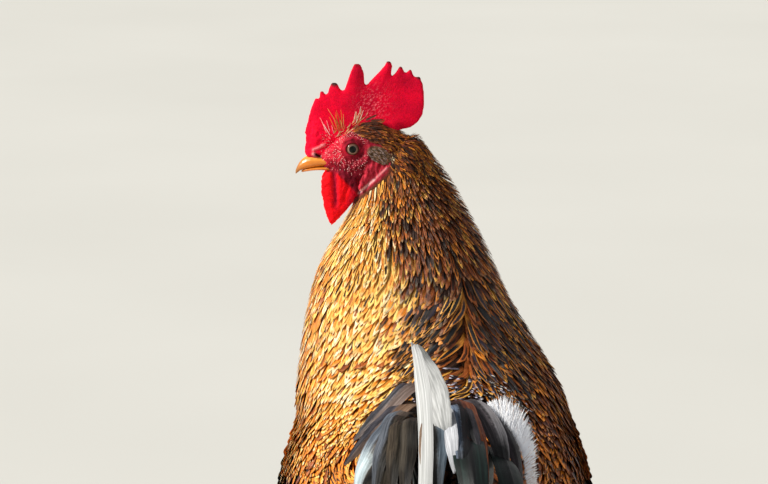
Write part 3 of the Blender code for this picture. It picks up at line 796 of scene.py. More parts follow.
def tinted(points):
    """The skin's colour: red flesh on the head, with painted light and shade, and the coat's brown under the
    feathers.
    """
    forward, side, up = head_frame(points)
    mottle = 0.5 + noise_at(points, 260, 3.0) + 0.6 * noise_at(points, 800, 6.0)
    strips = 0.5 + 1.2 * noise_at(points * (1.0, 1.0, 0.35), 700, 4.0)
    ear = smooth_step(1.25, 0.75, in_ear_tuft(forward, up)) * (np.abs(side) > 6)
    comb = close_to(["comb"], 0.0050, 0.0030, points) * smooth_step(-7, -3, up)
    cheek_edge = -18.5 - 1.0 * np.clip(12.7 - forward, 0, 16)
    wattle = close_to(["wattle_left", "wattle_right"], 0.0022, 0.0010, points)
    wattle = wattle * smooth_step(1.5, -1.5, up - cheek_edge)
    lobe = close_to(["earlobe_left", "earlobe_right"], 0.0022, 0.0010, points)
    # A painted highlight along the earlobe's rim, and the pale folds by the nostril.
    pale = (0.75 * bar(forward, up, *LOBE_RIM_HIGHLIGHT) + 0.28 * bar(forward, up, *LOBE_REAR_RIM_HIGHLIGHT)
            + 0.45 * bar(forward, up, *NOSE_FOLD) + 0.75 * bar(forward, up, *NOSE_LID))
    # Painted shade inside the nostril's opening.
    nostril = bar(forward, up, *NOSTRIL)
    aside = np.abs(side) > 2.5
    layers = (
        (face_red_and_painted_light(points, mottle), smooth_step(3.0, -1.0, feathered(points))),
        (toned((0.05, 0.028, 0.016), (0.13, 0.08, 0.05), mottle), ear),
        (comb_tint(points), comb),
        (wattle_red_and_painted_shade(points), wattle),
        (toned((0.22, 0.006, 0.014), (0.52, 0.030, 0.055), strips), lobe),
        # The pale pink: the nostril folds' own colour and a painted highlight on the earlobe's rim.
        (opaque(PALE_RIM_AND_HIGHLIGHT_PINK), np.clip(pale, 0, 1) * aside),
        # Painted shade inside the nostril.
        (opaque(NOSTRIL_SHADE_DARK), np.clip(nostril * aside * 1.3, 0, 1)),
    )
    tint = np.tile(opaque(SKIN_BROWN), (len(points), 1))
    for colour, share in layers:
        tint = blend_colours(tint, colour, share)
    return tint


def make_head():
    """The head's skin as a form, with comb, wattles and earlobes."""
    head_form = Surface(remeshed(welded(["head", "neck_upper"], CLOSING), HEAD_VOXEL, 8))
    depth = skin_depth(head_form.points)
    core = moved(head_form.mesh.copy(), head_form.points - head_form.point_normals * depth[:, None])
    flaps = [flap("comb", head_form, 0.0011, 0.0024, 0.006, comb_bend, 9)]
    for end in ("left", "right"):
        flaps.append(flap("wattle_" + end, head_form, 0.0009, 0.0022, 0.004, wattle_bend))
        flaps.append(flap("earlobe_" + end, head_form, 0.0013, 0.0026, 0.003, lobe_bend))
    masses = [swelling((27, 0, -3), (10, 5.5, 7)), swelling((32.5, 0, 1), (4.6, 3, 6)),
              swelling((-4, 0, -30), (7, 9, 16))]
    fine = Surface(remeshed(joined([core, *masses, *flaps]), SKIN_VOXEL, 3))
    return moved(fine.mesh, shape_face(fine.points, fine.point_normals))


def make_skin():
    """One closed skin: the fine head, and a plainer body under the feathers. Returns the head alone."""
    head = make_head()
    body = moved(coat.mesh.copy(), coat.points - coat.point_normals * FEATHER_DEPTH)
    whole = bmesh.new()
    for mesh in (cut_open(head, True), cut_open(body, False)):
        whole.from_mesh(mesh)
    open_edges = [edge for edge in whole.edges if edge.is_boundary]
    bmesh.ops.bridge_loops(whole, edges=open_edges)
    bmesh.ops.recalc_face_normals(whole, faces=whole.faces)
    mesh = mesh_of(whole, "skin")
    mesh.shade_smooth()
    tint = mesh.attributes.new("tint", "FLOAT_COLOR", "POINT")
    tint.data.foreach_set("color", tinted(coordinates(mesh)).astype(np.float32).ravel())
    hand_over(link("skin", mesh, flesh_finish()), "face", *FLESH, *BARE_PARTS)
    return head


def flesh_finish():
    """Skin by its own tint, with a fine grain and faint veins."""
    made = Finish("flesh", Roughness=0.6, Specular_IOR_Level=0.07, Subsurface_Weight=0.25,
                  Subsurface_Scale=0.003, Subsurface_Radius=(1.0, 0.12, 0.08))
    grain = made.cells(1500)
    veins = made.noise(330, 3.0)
    tone = made.math("MULTIPLY_ADD", grain, -0.5, made.math("MULTIPLY_ADD", veins, 0.5, 1.0))
    base = made.attribute("tint").outputs["Color"]
    made.colour(base, tone)
    made.bump(made.math("MULTIPLY_ADD", grain, -1.0, veins), 0.00035, 0.7)
    return made.material


# ---------------------------------------------------------------- eyes and bill

PUPIL = 0.0028  # radii
IRIS = 0.0044


def eye_finish():
    """A pale iris round a black pupil, darker at its top as painted shade from the upper lid, under a wet
    clear surface.
    """
    finish = Finish("eye", Roughness=0.2, Coat_Weight=0.22, Coat_Roughness=0.03, Specular_IOR_Level=0.05)
    x, _, z = finish.parts(finish.place())
    flat = finish.vector(X=x, Z=z)
    ring = finish.vector_math("LENGTH", {0: flat}, "Value")
    angle = finish.math("ARCTAN2", z, x)
    round_pupil = finish.vector(X=finish.math("MULTIPLY", angle, 6.0), Y=finish.math("MULTIPLY", ring, 120.0))
    spokes = finish.noise(9.0, 3.0, round_pupil)
    iris = finish.mix(spokes, (0.13, 0.07, 0.05), (0.32, 0.21, 0.155))
    # Darker towards the top: painted shade from the upper lid.
    iris = finish.mix(finish.span(z, -0.0005, 0.0042, 0.0, 0.7), iris, (0.06, 0.035, 0.022))
    iris = finish.mix(finish.span(ring, IRIS * 0.82, IRIS * 0.92), iris, (0.13, 0.05, 0.03))
    colour = finish.mix(finish.span(ring, PUPIL * 0.94, PUPIL * 1.05), (0.004, 0.006, 0.004), iris)
    finish.colour(finish.mix(finish.span(ring, IRIS, IRIS * 1.12), colour, (0.02, 0.006, 0.004)))
    return finish.material


def make_eyes():
    material = eye_finish()
    for side, end in SIDES:
        shape = bmesh.new()
        bmesh.ops.create_uvsphere(shape, u_segments=48, v_segments=32, radius=EYE_RADIUS)
        mesh = mesh_of(shape, "eyeball")
        mesh.shade_smooth()
        made = link("eyeball_" + end, mesh, material)
        made.location = EYE + np.array((0, side * EYE_SPREAD, 0))
        hand_over(made, "eye", "eye_" + end)


def horn_finish():
    """Yellow horn with growth lines, a paler ridge along the top, partly painted light from above, and a
    darker tip.
    """
    finish = Finish("horn", Roughness=0.34, Specular_IOR_Level=0.5, Coat_Weight=0.15, Coat_Roughness=0.2)
    x, _, z = finish.parts(finish.place())
    stretched = finish.vector_math("MULTIPLY", {0: finish.place(), 1: (0.8, 9.0, 9.0)})
    lines = finish.noise(60.0, 4.0, stretched, 0.6)
    tip = finish.span(x, HEAD[0] + 0.037, HEAD[0] + 0.046)
    # Paler along the top: partly the ridge's own colour, partly painted light from above.
    ridge = finish.span(z, HEAD[2] - 0.0105, HEAD[2] - 0.0055)
    colour = finish.mix(lines, (0.59, 0.145, 0.010), (0.82, 0.285, 0.028))
    colour = finish.mix(finish.math("MULTIPLY", ridge, 0.50), colour, (0.92, 0.52, 0.11))
    finish.colour(finish.mix(finish.math("MULTIPLY", tip, 0.85), colour, (0.22, 0.105, 0.035)))
    finish.bump(lines, 0.0002, 0.5)
    return finish.material


def make_bill():
    """Both halves of the bill, the upper one with a keeled ridge and a cutting edge."""
    material = horn_finish()
    for name in ("bill_upper", "bill_lower"):
        form = Surface(remeshed(welded([name]), BILL_VOXEL, 5))
        points = np.array(form.points)
        if name == "bill_upper":
            _, side, _ = head_frame(points)
            facing_up = form.point_normals[:, 2]
            keel = 0.7 * np.exp(-(side / 1.6) ** 2) * (facing_up > 0.2)
            lip = smooth_step(-0.1, -0.6, facing_up) * smooth_step(1.5, 3.0, np.abs(side))
            points[:, 2] += keel * MM
            points[:, 2] -= 0.5 * lip * MM
        mesh = moved(form.mesh, points)
        mesh.shade_smooth()
        hand_over(link(name + "_horn", mesh, material), "bill", name)


# ---------------------------------------------------------------- the coat

GOLD = (0.86, 0.44, 0.085)
YELLOW = (0.95, 0.64, 0.18)
CREAM = (0.97, 0.81, 0.50)
ORANGE = (0.80, 0.27, 0.025)
AMBER = (0.62, 0.24, 0.03)
RUST = (0.36, 0.10, 0.018)
MAHOGANY = (0.17, 0.040, 0.012)
BROWN = (0.045, 0.016, 0.007)
DUSK = (0.09, 0.045, 0.025)
BLACK = (0.008, 0.008, 0.009)
GREEN_BLACK = (0.006, 0.016, 0.013)
SLATE = (0.055, 0.060, 0.068)
GREY = (0.20, 0.17, 0.14)
WHITE = (0.84, 0.83, 0.78)
PLUME_WHITE = (0.53, 0.535, 0.53)
OLIVE = (0.032, 0.026, 0.018)


def picked(count, palette, shares, vary=0.15):
    """A colour for each feather, drawn from a palette by shares, each lighter or darker by up to vary."""
    chosen = RNG.choice(len(palette), count, p=np.array(shares) / sum(shares))
    made = np.ones((count, 4))
    made[:, :3] = np.array(palette)[chosen] * (1 + vary * (2 * RNG.random((count, 1)) - 1))
    return made


def either(first, second, share):
    """For each feather the second colour, by chance as large as its share, or else the first."""
    return np.where((RNG.random(len(first)) < share)[:, None], second, first)


def strength(colours, low, high):
    """The same colours with a strength between low and high in alpha."""
    made = np.array(colours)
    made[:, 3] = low + (high - low) * RNG.random(len(made))
    return made


def marks(count, palette, shares, low, high):
    """Colours drawn from a palette, with a strength between low and high."""
    return strength(picked(count, palette, shares), low, high)


def grow(name, slot, finish, region, gap, size, paint, profile="round", sink=FEATHER_DEPTH, lift=0.0010,
         turn=0.08, heading=flow, segments=7, tries=90000, **shape):
    """Covers a region of the outline with feathers. gap, sink and size, which is length and width, may go by
    place, and paint goes by where roots and tips lie."""
    roots, _ = spread(coat, gap, region, tries)
    count = len(roots)
    lengths, widths = size(roots) if callable(size) else size
    lengths = lengths * (0.85 + 0.3 * RNG.random(count))
    widths = widths * (0.85 + 0.3 * RNG.random(count))
    aside = RNG.normal(0, turn, count)

    def way(points, normals, share):
        ahead = unit(heading(points, normals))
        return ahead + np.cross(normals, ahead) * aside[:, None]

    lines = draped(coat, roots, lengths / segments, segments, way)
    rise = lift * (0.2 + 0.8 * RNG.random(count))
    colours = paint(roots, lines[0][:, -1])
    feather_piece(name, finish, slot, lines, widths, profile, by_place(sink, roots), rise, colours, **shape)


def lanes(points, pitch, stretch):
    """Noise from 0 to 1, drawn out along the lie of the feathers."""
    flat = unwrapped(points) * (pitch, pitch / stretch)
    return smooth_step(-0.3, 0.3, noise_at(np.column_stack([flat, 0 * flat[:, 0]]), 1.0))


# The neck's cape

CAPE_TOP = 0.455  # over this height the cape's feathers are narrow and pointed
CAPE_END = 0.70  # how far down the spine the cape reaches over back and shoulders


def grown(points):
    return smooth_step(0.515, 0.41, points[:, 2])


def hackle_size(points):
    return 0.012 + 0.022 * grown(points), 0.0018 + 0.0032 * grown(points)


def hackle_gap(points):
    return 0.0017 + 0.0021 * grown(points)


def gold_and_sunlit_side(tips):
    """1 where the cape is gold and 0 on its browner side: partly the bird's own colours, partly painted
    sunlight on the sunlit left and painted shade on the right.
    """
    return smooth_step(0.002, 0.052, tips[:, 0] - 0.020 * smooth_step(0.41, 0.50, tips[:, 2]))


def hackle_paint(roots, tips):
    """Gold in front of the bird's left, partly painted sunlight; orange low down; browner on its right,
    partly painted shade; each with dark gaps.
    """
    count = len(tips)
    left, low = gold_and_sunlit_side(tips), smooth_step(0.375, 0.320, tips[:, 2])
    bright = lanes(tips, 90, 9)
    # The sunny golds on the left are partly painted sunlight, and the shady browns on the right partly
    # painted shade.
    sunny = either(picked(count, (GOLD, ORANGE, YELLOW), (6, 2, 3), 0.15),
                   picked(count, (CREAM, YELLOW, GOLD), (3.5, 5, 3.5), 0.12), 0.25 + 0.6 * bright)
    shady = either(picked(count, (RUST, MAHOGANY, BROWN), (4, 3, 2.5), 0.3),
                   picked(count, (GOLD, ORANGE, RUST), (2, 3, 3), 0.25), 0.08 + 0.45 * bright)
    ground = either(shady, sunny, left)
    ground = either(ground, picked(count, (ORANGE, GOLD, YELLOW), (4, 5, 2.5), 0.2), low * left)
    ground = either(ground, picked(count, (MAHOGANY, RUST, ORANGE), (3, 4, 3), 0.3), low * (1 - left))
    edge = smooth_step(0.078, 0.100, tips[:, 0])
    ground = either(ground, picked(count, (ORANGE, AMBER, RUST), (4, 3, 1.5), 0.2), 0.75 * edge)
    nape = smooth_step(0.47, 0.53, tips[:, 2])
    ground = either(ground, picked(count, (RUST, ORANGE, BROWN, GOLD), (4, 4, 1, 2.5), 0.3), nape * 0.8)
    dark = marks(count, (BROWN, BLACK, RUST), (6, 1.5, 2), 0.3, 1.2)
    warm = marks(count, (AMBER, ORANGE, RUST, BROWN), (5, 3, 2, 0.7), 0.2, 1.0)
    # Dark flecks on the shaded right and warmer ones on the sunlit left: partly painted shade.
    fleck = either(dark, warm, 0.95 * left)
    tip = marks(count, (CREAM, YELLOW, GOLD), (5, 3, 1), 0.0, 1.0)
    # The cream tips are strongest on the sunlit left: partly a painted highlight.
    tip[:, 3] = tip[:, 3] * (0.25 + 0.75 * left) + 0.25 * left
    return ground, fleck, tip


def make_hackle():
    finish = feather_finish("hackle", streak=(0.50, 0.84), core=(0.30, 0.80), tip_from=0.88, fade=0.09)

    def upper(points, normals, homes):
        forward, _, up = head_frame(points)
        on_head = (forward > -22) & (up > -12)
        return (points[:, 2] > CAPE_TOP) & (on_spine(points)[0] < 0.44) & (feathered(points) > 0.5) & ~on_head

    def lower(side):
        def region(points, normals, homes):
            down = on_spine(points)[0]
            speckled = (np.abs(points[:, 0] - PARTING_X) < 0.030) & (down > 0.53)
            shoulder = (down < CAPE_END) & (points[:, 2] > 0.302) & (homes != THIGH) & (normals[:, 2] > 0)
            wanted = (shoulder & ~speckled) | (down < 0.44)
            return (points[:, 2] <= CAPE_TOP) & wanted & (feathered(points) > 0.5) & (points[:, 0] * side > 0)
        return region

    def sink(points):
        return skin_depth(points) + 0.0004

    pieces = (("upper", upper, "pointed", 6), ("lower_left", lower(1), "blunt", 5),
              ("lower_right", lower(-1), "blunt", 5))
    for name, region, profile, segments in pieces:
        grow("hackle_" + name, "hackle", finish, region, hackle_gap, hackle_size, hackle_paint, profile, sink,
             0.0007, segments=segments, tries=160000, thick=0.00025)


def make_parting():
    """Where the cape parts over the back: longer feathers, black along the shaft with gold edges."""
    finish = feather_finish("parting", streak=(0.42, 0.93), core=(0.42, 0.66), tip_from=0.95, gloss=0.5)

    def region(points, normals, homes):
        beside = np.abs(points[:, 0] - PARTING_X - 0.004) < 0.034
        return beside & (points[:, 2] > 0.372) & (points[:, 2] < 0.445) & (normals[:, 1] > 0.15)

    def paint(roots, tips):
        count = len(tips)
        # Darker towards the bird's shaded right: partly the feathers' own colour, partly painted shade.
        right = smooth_step(-0.030, -0.055, tips[:, 0])
        ground = either(picked(count, (GOLD, AMBER, (0.30, 0.13, 0.03), BROWN), (2, 3, 2, 1)),
                        picked(count, (AMBER, (0.22, 0.08, 0.02), BROWN, BLACK), (1.5, 2, 2, 1), 0.3), right)
        fleck = marks(count, (BLACK, (0.03, 0.02, 0.035), SLATE, BROWN), (4, 2, 1, 1.5), 0.8, 1.35)
        return ground, fleck, marks(count, (GOLD, GREY), (3, 1), 0.0, 0.5)

    grow("hackle_parting", "hackle", finish, region, 0.0050, (0.046, 0.0050), paint, "pointed", lift=0.0026)


def make_speckles():
    """Small black feathers with white and cream specks, where the cape ends over the back."""
    finish = feather_finish("speckles", streak=(0.30, 0.78), core=(0.3, 0.8), tip_from=0.80, fade=0.07)

    def region(points, normals, homes):
        reach = np.hypot((points[:, 0] + 0.030) / 0.038, (on_spine(points)[0] - 0.63) / 0.12)
        return (reach < 0.75 + 0.40 * RNG.random(len(points))) & (normals[:, 2] > 0.3)

    def paint(roots, tips):
        count = len(tips)
        ground = picked(count, ((0.05, 0.03, 0.045), (0.12, 0.08, 0.11), BROWN, GREY), (3, 3, 1, 1.5), 0.3)
        fleck = marks(count, (BLACK, (0.30, 0.25, 0.34)), (3, 2), 0.4, 1.0)
        tip = marks(count, (WHITE, (0.62, 0.60, 0.72), CREAM), (4, 5, 0.8), 0.45, 1.3)
        return ground, fleck, tip

    grow("speckles", "hackle", finish, region, 0.0030, (0.017, 0.0032), paint, "pointed", lift=0.0022,
         turn=0.30, segments=5)


# Crown, ear tuft, bristles and wisps

def crown_paint(roots, tips):
    """Browns, lit with orange over the eye and at the nape."""
    count = len(tips)
    forward, _, _ = head_frame(tips)
    ground = picked(count, (RUST, MAHOGANY, (0.10, 0.022, 0.008), BROWN), (2.5, 4, 2, 2.5), 0.3)
    lit = smooth_step(-14, -2, forward) + 0.6 * smooth_step(-24, -36, forward)
    ground = either(ground, picked(count, (ORANGE, RUST, AMBER), (3, 3, 3), 0.2), 0.6 * lit)
    tip = marks(count, (AMBER, ORANGE), (2, 1), 0, 0.6)
    return ground, marks(count, (BROWN,), (1,), 0.1, 1.0), tip


# How high feathers climb the comb's foot: forward, up
COMB_FOOT = [(-48, 7), (-36, 14), (-29, 20.5), (-20, 27), (-9, 23.5), (-1, 17), (7, 11.5), (13, 9), (22, 8)]


def comb_foot(forward):
    """How high feathers climb the comb's foot."""
    return np.interp(forward, *zip(*COMB_FOOT))


def make_crown():
    """Small brown feathers from the comb's foot over the crown to the nape."""
    finish = feather_finish("crown", roughness=0.6, gloss=0.25, streak=(0.3, 0.8))

    def region(points, normals, homes):
        forward, _, up = head_frame(points)
        off_comb = (distance_to(["comb"], points) > 0.0045) | (up < comb_foot(forward) - 1.0)
        return (feathered(points) > -0.4) & (up > -16) & (forward > -56) & off_comb

    roots, _ = spread(face, 0.0013, region, 120000)
    count = len(roots)
    lengths = (0.0085 + 0.005 * smooth_step(0, 14, feathered(roots))) * (0.8 + 0.4 * RNG.random(count))
    widths = 0.0015 * (0.8 + 0.4 * RNG.random(count))
    aside = RNG.normal(0, 0.16, count)

    def way(points, normals, share):
        forward, side, up = head_frame(points)
        down = -0.30 - 0.9 * smooth_step(-12, -40, forward)
        back = np.stack([np.full(count, -1.0), 0.25 * np.sign(side), down], axis=1)
        rise = smooth_step(9, 2, comb_foot(forward) - up)[:, None]
        ahead = unit(back * (1 - rise) + np.array((-0.93, 0.0, 0.12)) * rise)
        return ahead + np.cross(normals, ahead) * aside[:, None]

    lines = draped(face, roots, lengths / 4, 4, way)
    forward, _, up = head_frame(lines[0][:, -1])
    clear = (feathered(lines[0][:, -1]) > 0.2) & (up < comb_foot(forward) + 1.0)
    lines = [part[clear] for part in lines]
    roots, widths, forward = roots[clear], widths[clear], forward[clear]
    count = len(roots)
    colours = crown_paint(roots, lines[0][:, -1])
    nape = 0.0042 * np.exp(-((forward + 46) / 7) ** 2)
    lift = 0.0006 + 0.0010 * RNG.random(count) + 0.8 * skin_depth(roots) + nape
    feather_piece("crown", finish, "hackle", lines, widths, "pointed", np.full(count, 0.0006), lift, colours)


def in_ear(points, normals, homes):
    forward, side, up = head_frame(points)
    return (in_ear_tuft(forward, up) < 1) & (np.abs(side) > 8)


def bristly(points, normals, homes):
    """By chance: the lores, under the eye, the brow, and thinly the cheek."""
    forward, side, up = head_frame(points)
    ring = np.hypot(forward, up)
    lores = (forward > 3) & (forward < 24) & (up > -8) & (up < 12)
    under = (ring > 9) & (ring < 17) & (up < -4) & (forward > -12)
    brow = (ring > 9.0) & (ring < 13.5) & (up > 4) & (forward < 12)
    cheek = (forward > -10) & (up < -4) & (up > -20)
    wanted = lores * 0.7 + under * 0.6 + brow * 1.8 + cheek * 0.15
    chosen = RNG.random(len(points)) < wanted * 0.42
    return (np.abs(side) > 5) & (feathered(points) < 0.5) & chosen & (ring > 8)


def clump(middle, reach, low, high):
    """A tuft on the comb's foot: where along it, how wide, and between which heights over the foot."""
    def region(points, normals, homes):
        forward, side, up = head_frame(points)
        chosen = np.exp(-((forward - middle) / reach) ** 2) > RNG.random(len(points))
        base = comb_foot(forward)
        return chosen & (up > base + low) & (up < base + high) & (np.abs(side) > 1.0)
    return region


def from_eye(points):
    """Away from the eye, and a little back."""
    forward, _, up = head_frame(points)
    return unit(np.column_stack([forward, 0 * up, up])) + np.array((-0.5, 0.0, 0.0))


# Fine feathers on the face: name, region, gap, length, width, heading, colours, stand and turn
FACE_PIECES = [
    ("ear_tuft", in_ear, 0.0006, 0.0045, 0.0007, (-0.80, 0.0, -0.50),
     ((0.20, 0.11, 0.06), (0.29, 0.20, 0.17), (0.13, 0.07, 0.03)), 0.0009, 0.12),
    ("bristles", bristly, 0.0010, 0.0014, 0.0004, from_eye,
     ((0.85, 0.14, 0.17), (0.90, 0.30, 0.31), (0.92, 0.54, 0.51)), 0.0006, 0.30),
    ("wisps_front", clump(17, 3.0, -1.0, 2.5), 0.0024, 0.0115, 0.0005, (0.20, 0.0, 1.0),
     ((0.95, 0.40, 0.40), (0.92, 0.62, 0.58)), 0.0010, 0.16),
    ("wisps_middle", clump(8, 2.2, 0.0, 5.0), 0.0011, 0.0145, 0.0005, (0.22, 0.0, 1.0),
     ((0.70, 0.22, 0.03), (0.50, 0.14, 0.03), (0.78, 0.36, 0.12)), 0.0012, 0.20),
    ("wisps_rear", clump(-4, 2.2, -0.5, 4.0), 0.0012, 0.0080, 0.0006, (-0.25, 0.0, 1.0),
     ((0.93, 0.72, 0.50), (0.85, 0.50, 0.25), (0.92, 0.72, 0.60)), 0.0012, 0.16),
    ("wisps_low", clump(4, 8.0, -2.0, 3.0), 0.0013, 0.0060, 0.0005, (-0.65, 0.0, 0.70),
     ((0.70, 0.28, 0.08), (0.85, 0.50, 0.30), (0.45, 0.14, 0.04)), 0.0008, 0.25),
]


def make_face_feathers():
    """The brown ear tuft, pink bristles round the eye and lores, and wisps up the comb's foot."""
    finish = feather_finish("down", roughness=0.7, gloss=0.2, streak=(2.0, 3.0))
    for name, region, gap, length, width, ahead, palette, stand, turn in FACE_PIECES:
        roots, _ = spread(face, gap, region, 80000)
        count = len(roots)
        lengths = length * (0.6 + 0.8 * RNG.random(count))
        aside = RNG.normal(0, turn, count)

        def way(points, normals, share):
            forwards = ahead(points) if callable(ahead) else np.tile(ahead, (count, 1))
            return forwards + np.cross(normals, forwards) * aside[:, None]

        lines = draped(face, roots, lengths / 3, 3, way)
        ground = picked(count, palette, np.ones(len(palette)), 0.15)
        clear = strength(ground, 0, 0)
        lift = stand * (0.4 + 0.9 * RNG.random(count))
        feather_piece(name, finish, "hackle", lines, np.full(count, width), "pointed", np.full(count, 0.0003),
                      lift, (ground, clear, clear), thick=0.0002)


# Body

def body_heading(points, normals):
    """Over the breast and flanks feathers lie back and down; under the belly, straight back."""
    down = smooth_step(-0.02, -0.20, points[:, 1])
    return np.stack([np.zeros(len(points)), np.ones(len(points)), -0.25 - 1.1 * down], axis=1)


def wing_heading(points, normals):
    return np.tile((0.0, 1.0, -0.14), (len(points), 1))


def thigh_heading(points, normals):
    return np.tile((0.0, 0.30, -0.95), (len(points), 1))


def is_back(points, normals):
    return (normals[:, 2] > 0.12) & (on_spine(points)[0] > 0.42) & (points[:, 2] > 0.30)


def make_body():
    finish = feather_finish("body_vanes", roughness=0.6, gloss=0.25, streak=(0.30, 0.90), core=(0.30, 1.05),
                            tip_from=0.92)

    def region(points, normals, homes):
        return (homes == TRUNK) & ~is_back(points, normals) & (on_spine(points)[0] > 0.38)

    def size(points):
        belly = smooth_step(0.26, 0.20, points[:, 2]) * smooth_step(-0.16, -0.05, points[:, 1])
        return 0.026 + 0.012 * belly, 0.0135 + 0.005 * belly

    def paint(roots, tips):
        count = len(tips)
        front = smooth_step(-0.05, -0.20, tips[:, 1])
        high = smooth_step(0.25, 0.33, tips[:, 2])
        ground = either(picked(count, (BROWN, DUSK, SLATE), (3, 3, 1), 0.3),
                        picked(count, (RUST, ORANGE, MAHOGANY, GOLD), (3, 3, 2, 1.5), 0.25),
                        front * (0.1 + 0.9 * high))
        # Orange and gold on the upper left only: partly painted sunlight on the sunlit side.
        ground = either(ground, picked(count, (ORANGE, GOLD, RUST), (4, 4, 1), 0.2),
                        smooth_step(0.28, 0.31, tips[:, 2]) * gold_and_sunlit_side(tips))
        fleck = marks(count, (BLACK, BROWN), (3, 1), 0.6, 1.0)
        golden = smooth_step(0.24, 0.29, tips[:, 2])
        fleck = either(fleck, marks(count, (RUST, MAHOGANY), (3, 1), 0.0, 0.5), golden)
        tip = marks(count, (CREAM, GOLD, GREY), (2, 3, 1), 0.0, 0.8)
        tip[:, 3] *= 0.15 + 0.85 * front
        return ground, fleck, tip

    grow("body", "body", finish, region, 0.0092, size, paint, "round", 0.0056, 0.0018, 0.10,
         body_heading, crown=0.14)


def make_thighs():
    finish = feather_finish("thigh_vanes", roughness=0.6, gloss=0.25, streak=(0.3, 0.90), core=(0.3, 1.05))

    def region(points, normals, homes):
        return (homes == THIGH) & (points[:, 2] > 0.105)

    def size(points):
        high = smooth_step(0.11, 0.22, points[:, 2])
        return 0.011 + 0.013 * high, 0.0055 + 0.0065 * high

    def paint(roots, tips):
        count = len(tips)
        ground = picked(count, (BROWN, DUSK, MAHOGANY), (3, 3, 1.2), 0.3)
        fleck = marks(count, (BLACK,), (1,), 0.3, 0.9)
        return ground, fleck, marks(count, (RUST, GOLD), (3, 1), 0.0, 0.5)

    def gap(points):
        return 0.0036 + 0.0040 * smooth_step(0.11, 0.22, points[:, 2])

    grow("thighs", "body", finish, region, gap, size, paint, "round", 0.0050, 0.0014, 0.12, thigh_heading,
         crown=0.14)


def make_saddle():
    """Long pointed feathers over the rear of the back, hanging at the tail's sides."""
    finish = feather_finish("saddle", gloss=0.45, streak=(0.30, 0.93), core=(0.38, 0.60), tip_from=0.94)

    def region(points, normals, homes):
        return (homes == TRUNK) & is_back(points, normals) & (on_spine(points)[0] > CAPE_END - 0.06)

    def size(points):
        rear = smooth_step(-0.08, 0.03, points[:, 1])
        return 0.034 + 0.026 * rear, 0.0058 + 0.0004 * rear

    def heading(points, normals):
        aside = np.abs(points[:, 0])
        outwards = np.sign(points[:, 0]) * 0.35 * smooth_step(0.02, 0.07, aside)
        down = -0.25 * smooth_step(0.03, 0.07, aside)
        return flow(points, normals) + np.stack([outwards, np.zeros(len(points)), down], axis=1)

    def paint(roots, tips):
        count = len(tips)
        left = gold_and_sunlit_side(tips)
        # Lighter on the sunlit left and darker elsewhere: partly painted sunlight and painted shade.
        ground = either(picked(count, (ORANGE, MAHOGANY, RUST), (3, 3, 4), 0.25),
                        picked(count, (ORANGE, GOLD, RUST), (4, 3, 1), 0.2), left)
        fleck = marks(count, (BLACK, BROWN), (1, 3), 0.1, 0.8)
        return ground, fleck, marks(count, (GOLD, CREAM), (3, 1), 0.0, 0.6)

    grow("saddle", "hackle", finish, region, 0.0052, size, paint, "pointed", 0.0056, 0.0020, 0.10, heading)


def make_wing_coverts():
    finish = feather_finish("wing_vanes", roughness=0.42, gloss=0.5, streak=(0.2, 0.8), core=(0.4, 0.7),
                            tip_from=0.93)

    def region(points, normals, homes):
        return homes == WING

    def size(points):
        rear = smooth_step(-0.17, -0.06, points[:, 1])
        return 0.018 + 0.010 * rear, 0.0110 + 0.003 * rear

    def paint(roots, tips):
        count = len(tips)
        lower = smooth_step(0.300, 0.270, tips[:, 2] + 0.10 * (tips[:, 1] + 0.09))
        bow = smooth_step(0.290, 0.315, tips[:, 2])
        # The orange-gold bow on the sunlit left only, and its darker match on the right, are partly painted
        # sunlight and painted shade.
        ground = either(picked(count, (MAHOGANY, RUST, ORANGE), (4, 3, 1.5), 0.25),
                        picked(count, (ORANGE, GOLD, RUST), (5, 3, 1), 0.2), bow * gold_and_sunlit_side(tips))
        ground = either(ground, picked(count, (GREEN_BLACK, BLACK), (3, 1), 0.3), lower)
        fleck = marks(count, (BLACK,), (1,), 0.1, 0.7)
        fleck = either(fleck, marks(count, (RUST,), (1,), 0.1, 0.6), bow * gold_and_sunlit_side(tips))
        tip = blend_colours(marks(count, (ORANGE, GOLD), (2, 1), 0.0, 0.6),
                            marks(count, (WHITE, CREAM), (2, 1), 0.0, 0.9), lower)
        return ground, fleck, tip

    grow("wing_coverts", "wing", finish, region, 0.0080, size, paint, "round", 0.0050, 0.0016, 0.06,
         wing_heading, crown=0.13)


# Large feathers: flight feathers, tail feathers and sickles

def plumes(name, material, slot, line, facing, widths, profile, colours, columns=9, crown=0.10, thick=0.0006,
           shaft=0.0007, ragged=0.05, patch=PLUME_PATCH):
    """Broad vanes with a raised shaft, each a closed sheet of columns across and stations along."""
    count, stations = line.shape[:2]
    share = np.linspace(0, 1, stations)
    ahead = unit(np.gradient(line, axis=1))
    side = unit(np.cross(facing, ahead))
    up = np.cross(ahead, side)
    half = 0.5 * widths[:, None] * PROFILES[profile](share)[None]
    across = np.linspace(-1, 1, columns)
    span = half[..., None] * across
    span = span * (1 - ragged * np.abs(across) ** 3 * RNG.random((count, stations, columns)))
    ridge = shaft * np.exp(-(across / 0.12) ** 2) * (1 - 0.6 * share[:, None])
    height = -crown * half[..., None] * across**2 + ridge
    top = line[:, :, None] + side[:, :, None] * span[..., None] + up[:, :, None] * height[..., None]
    under = top - up[:, :, None] * (thick * (1 - 0.7 * across**2))[None, None, :, None]
    rings = np.concatenate([top, under[:, :, ::-1]], axis=2)
    rings[..., 2] = np.maximum(rings[..., 2], 0)
    rims = (0, columns - 1, columns, 2 * columns - 1)
    both_ways = np.concatenate([across, across[::-1]])
    return vane_piece(name, material, slot, rings, both_ways, rims, line[:, 0], colours, patch)


def arcs(paths, stations):
    return np.stack([curve_through(path, stations) for path in paths])


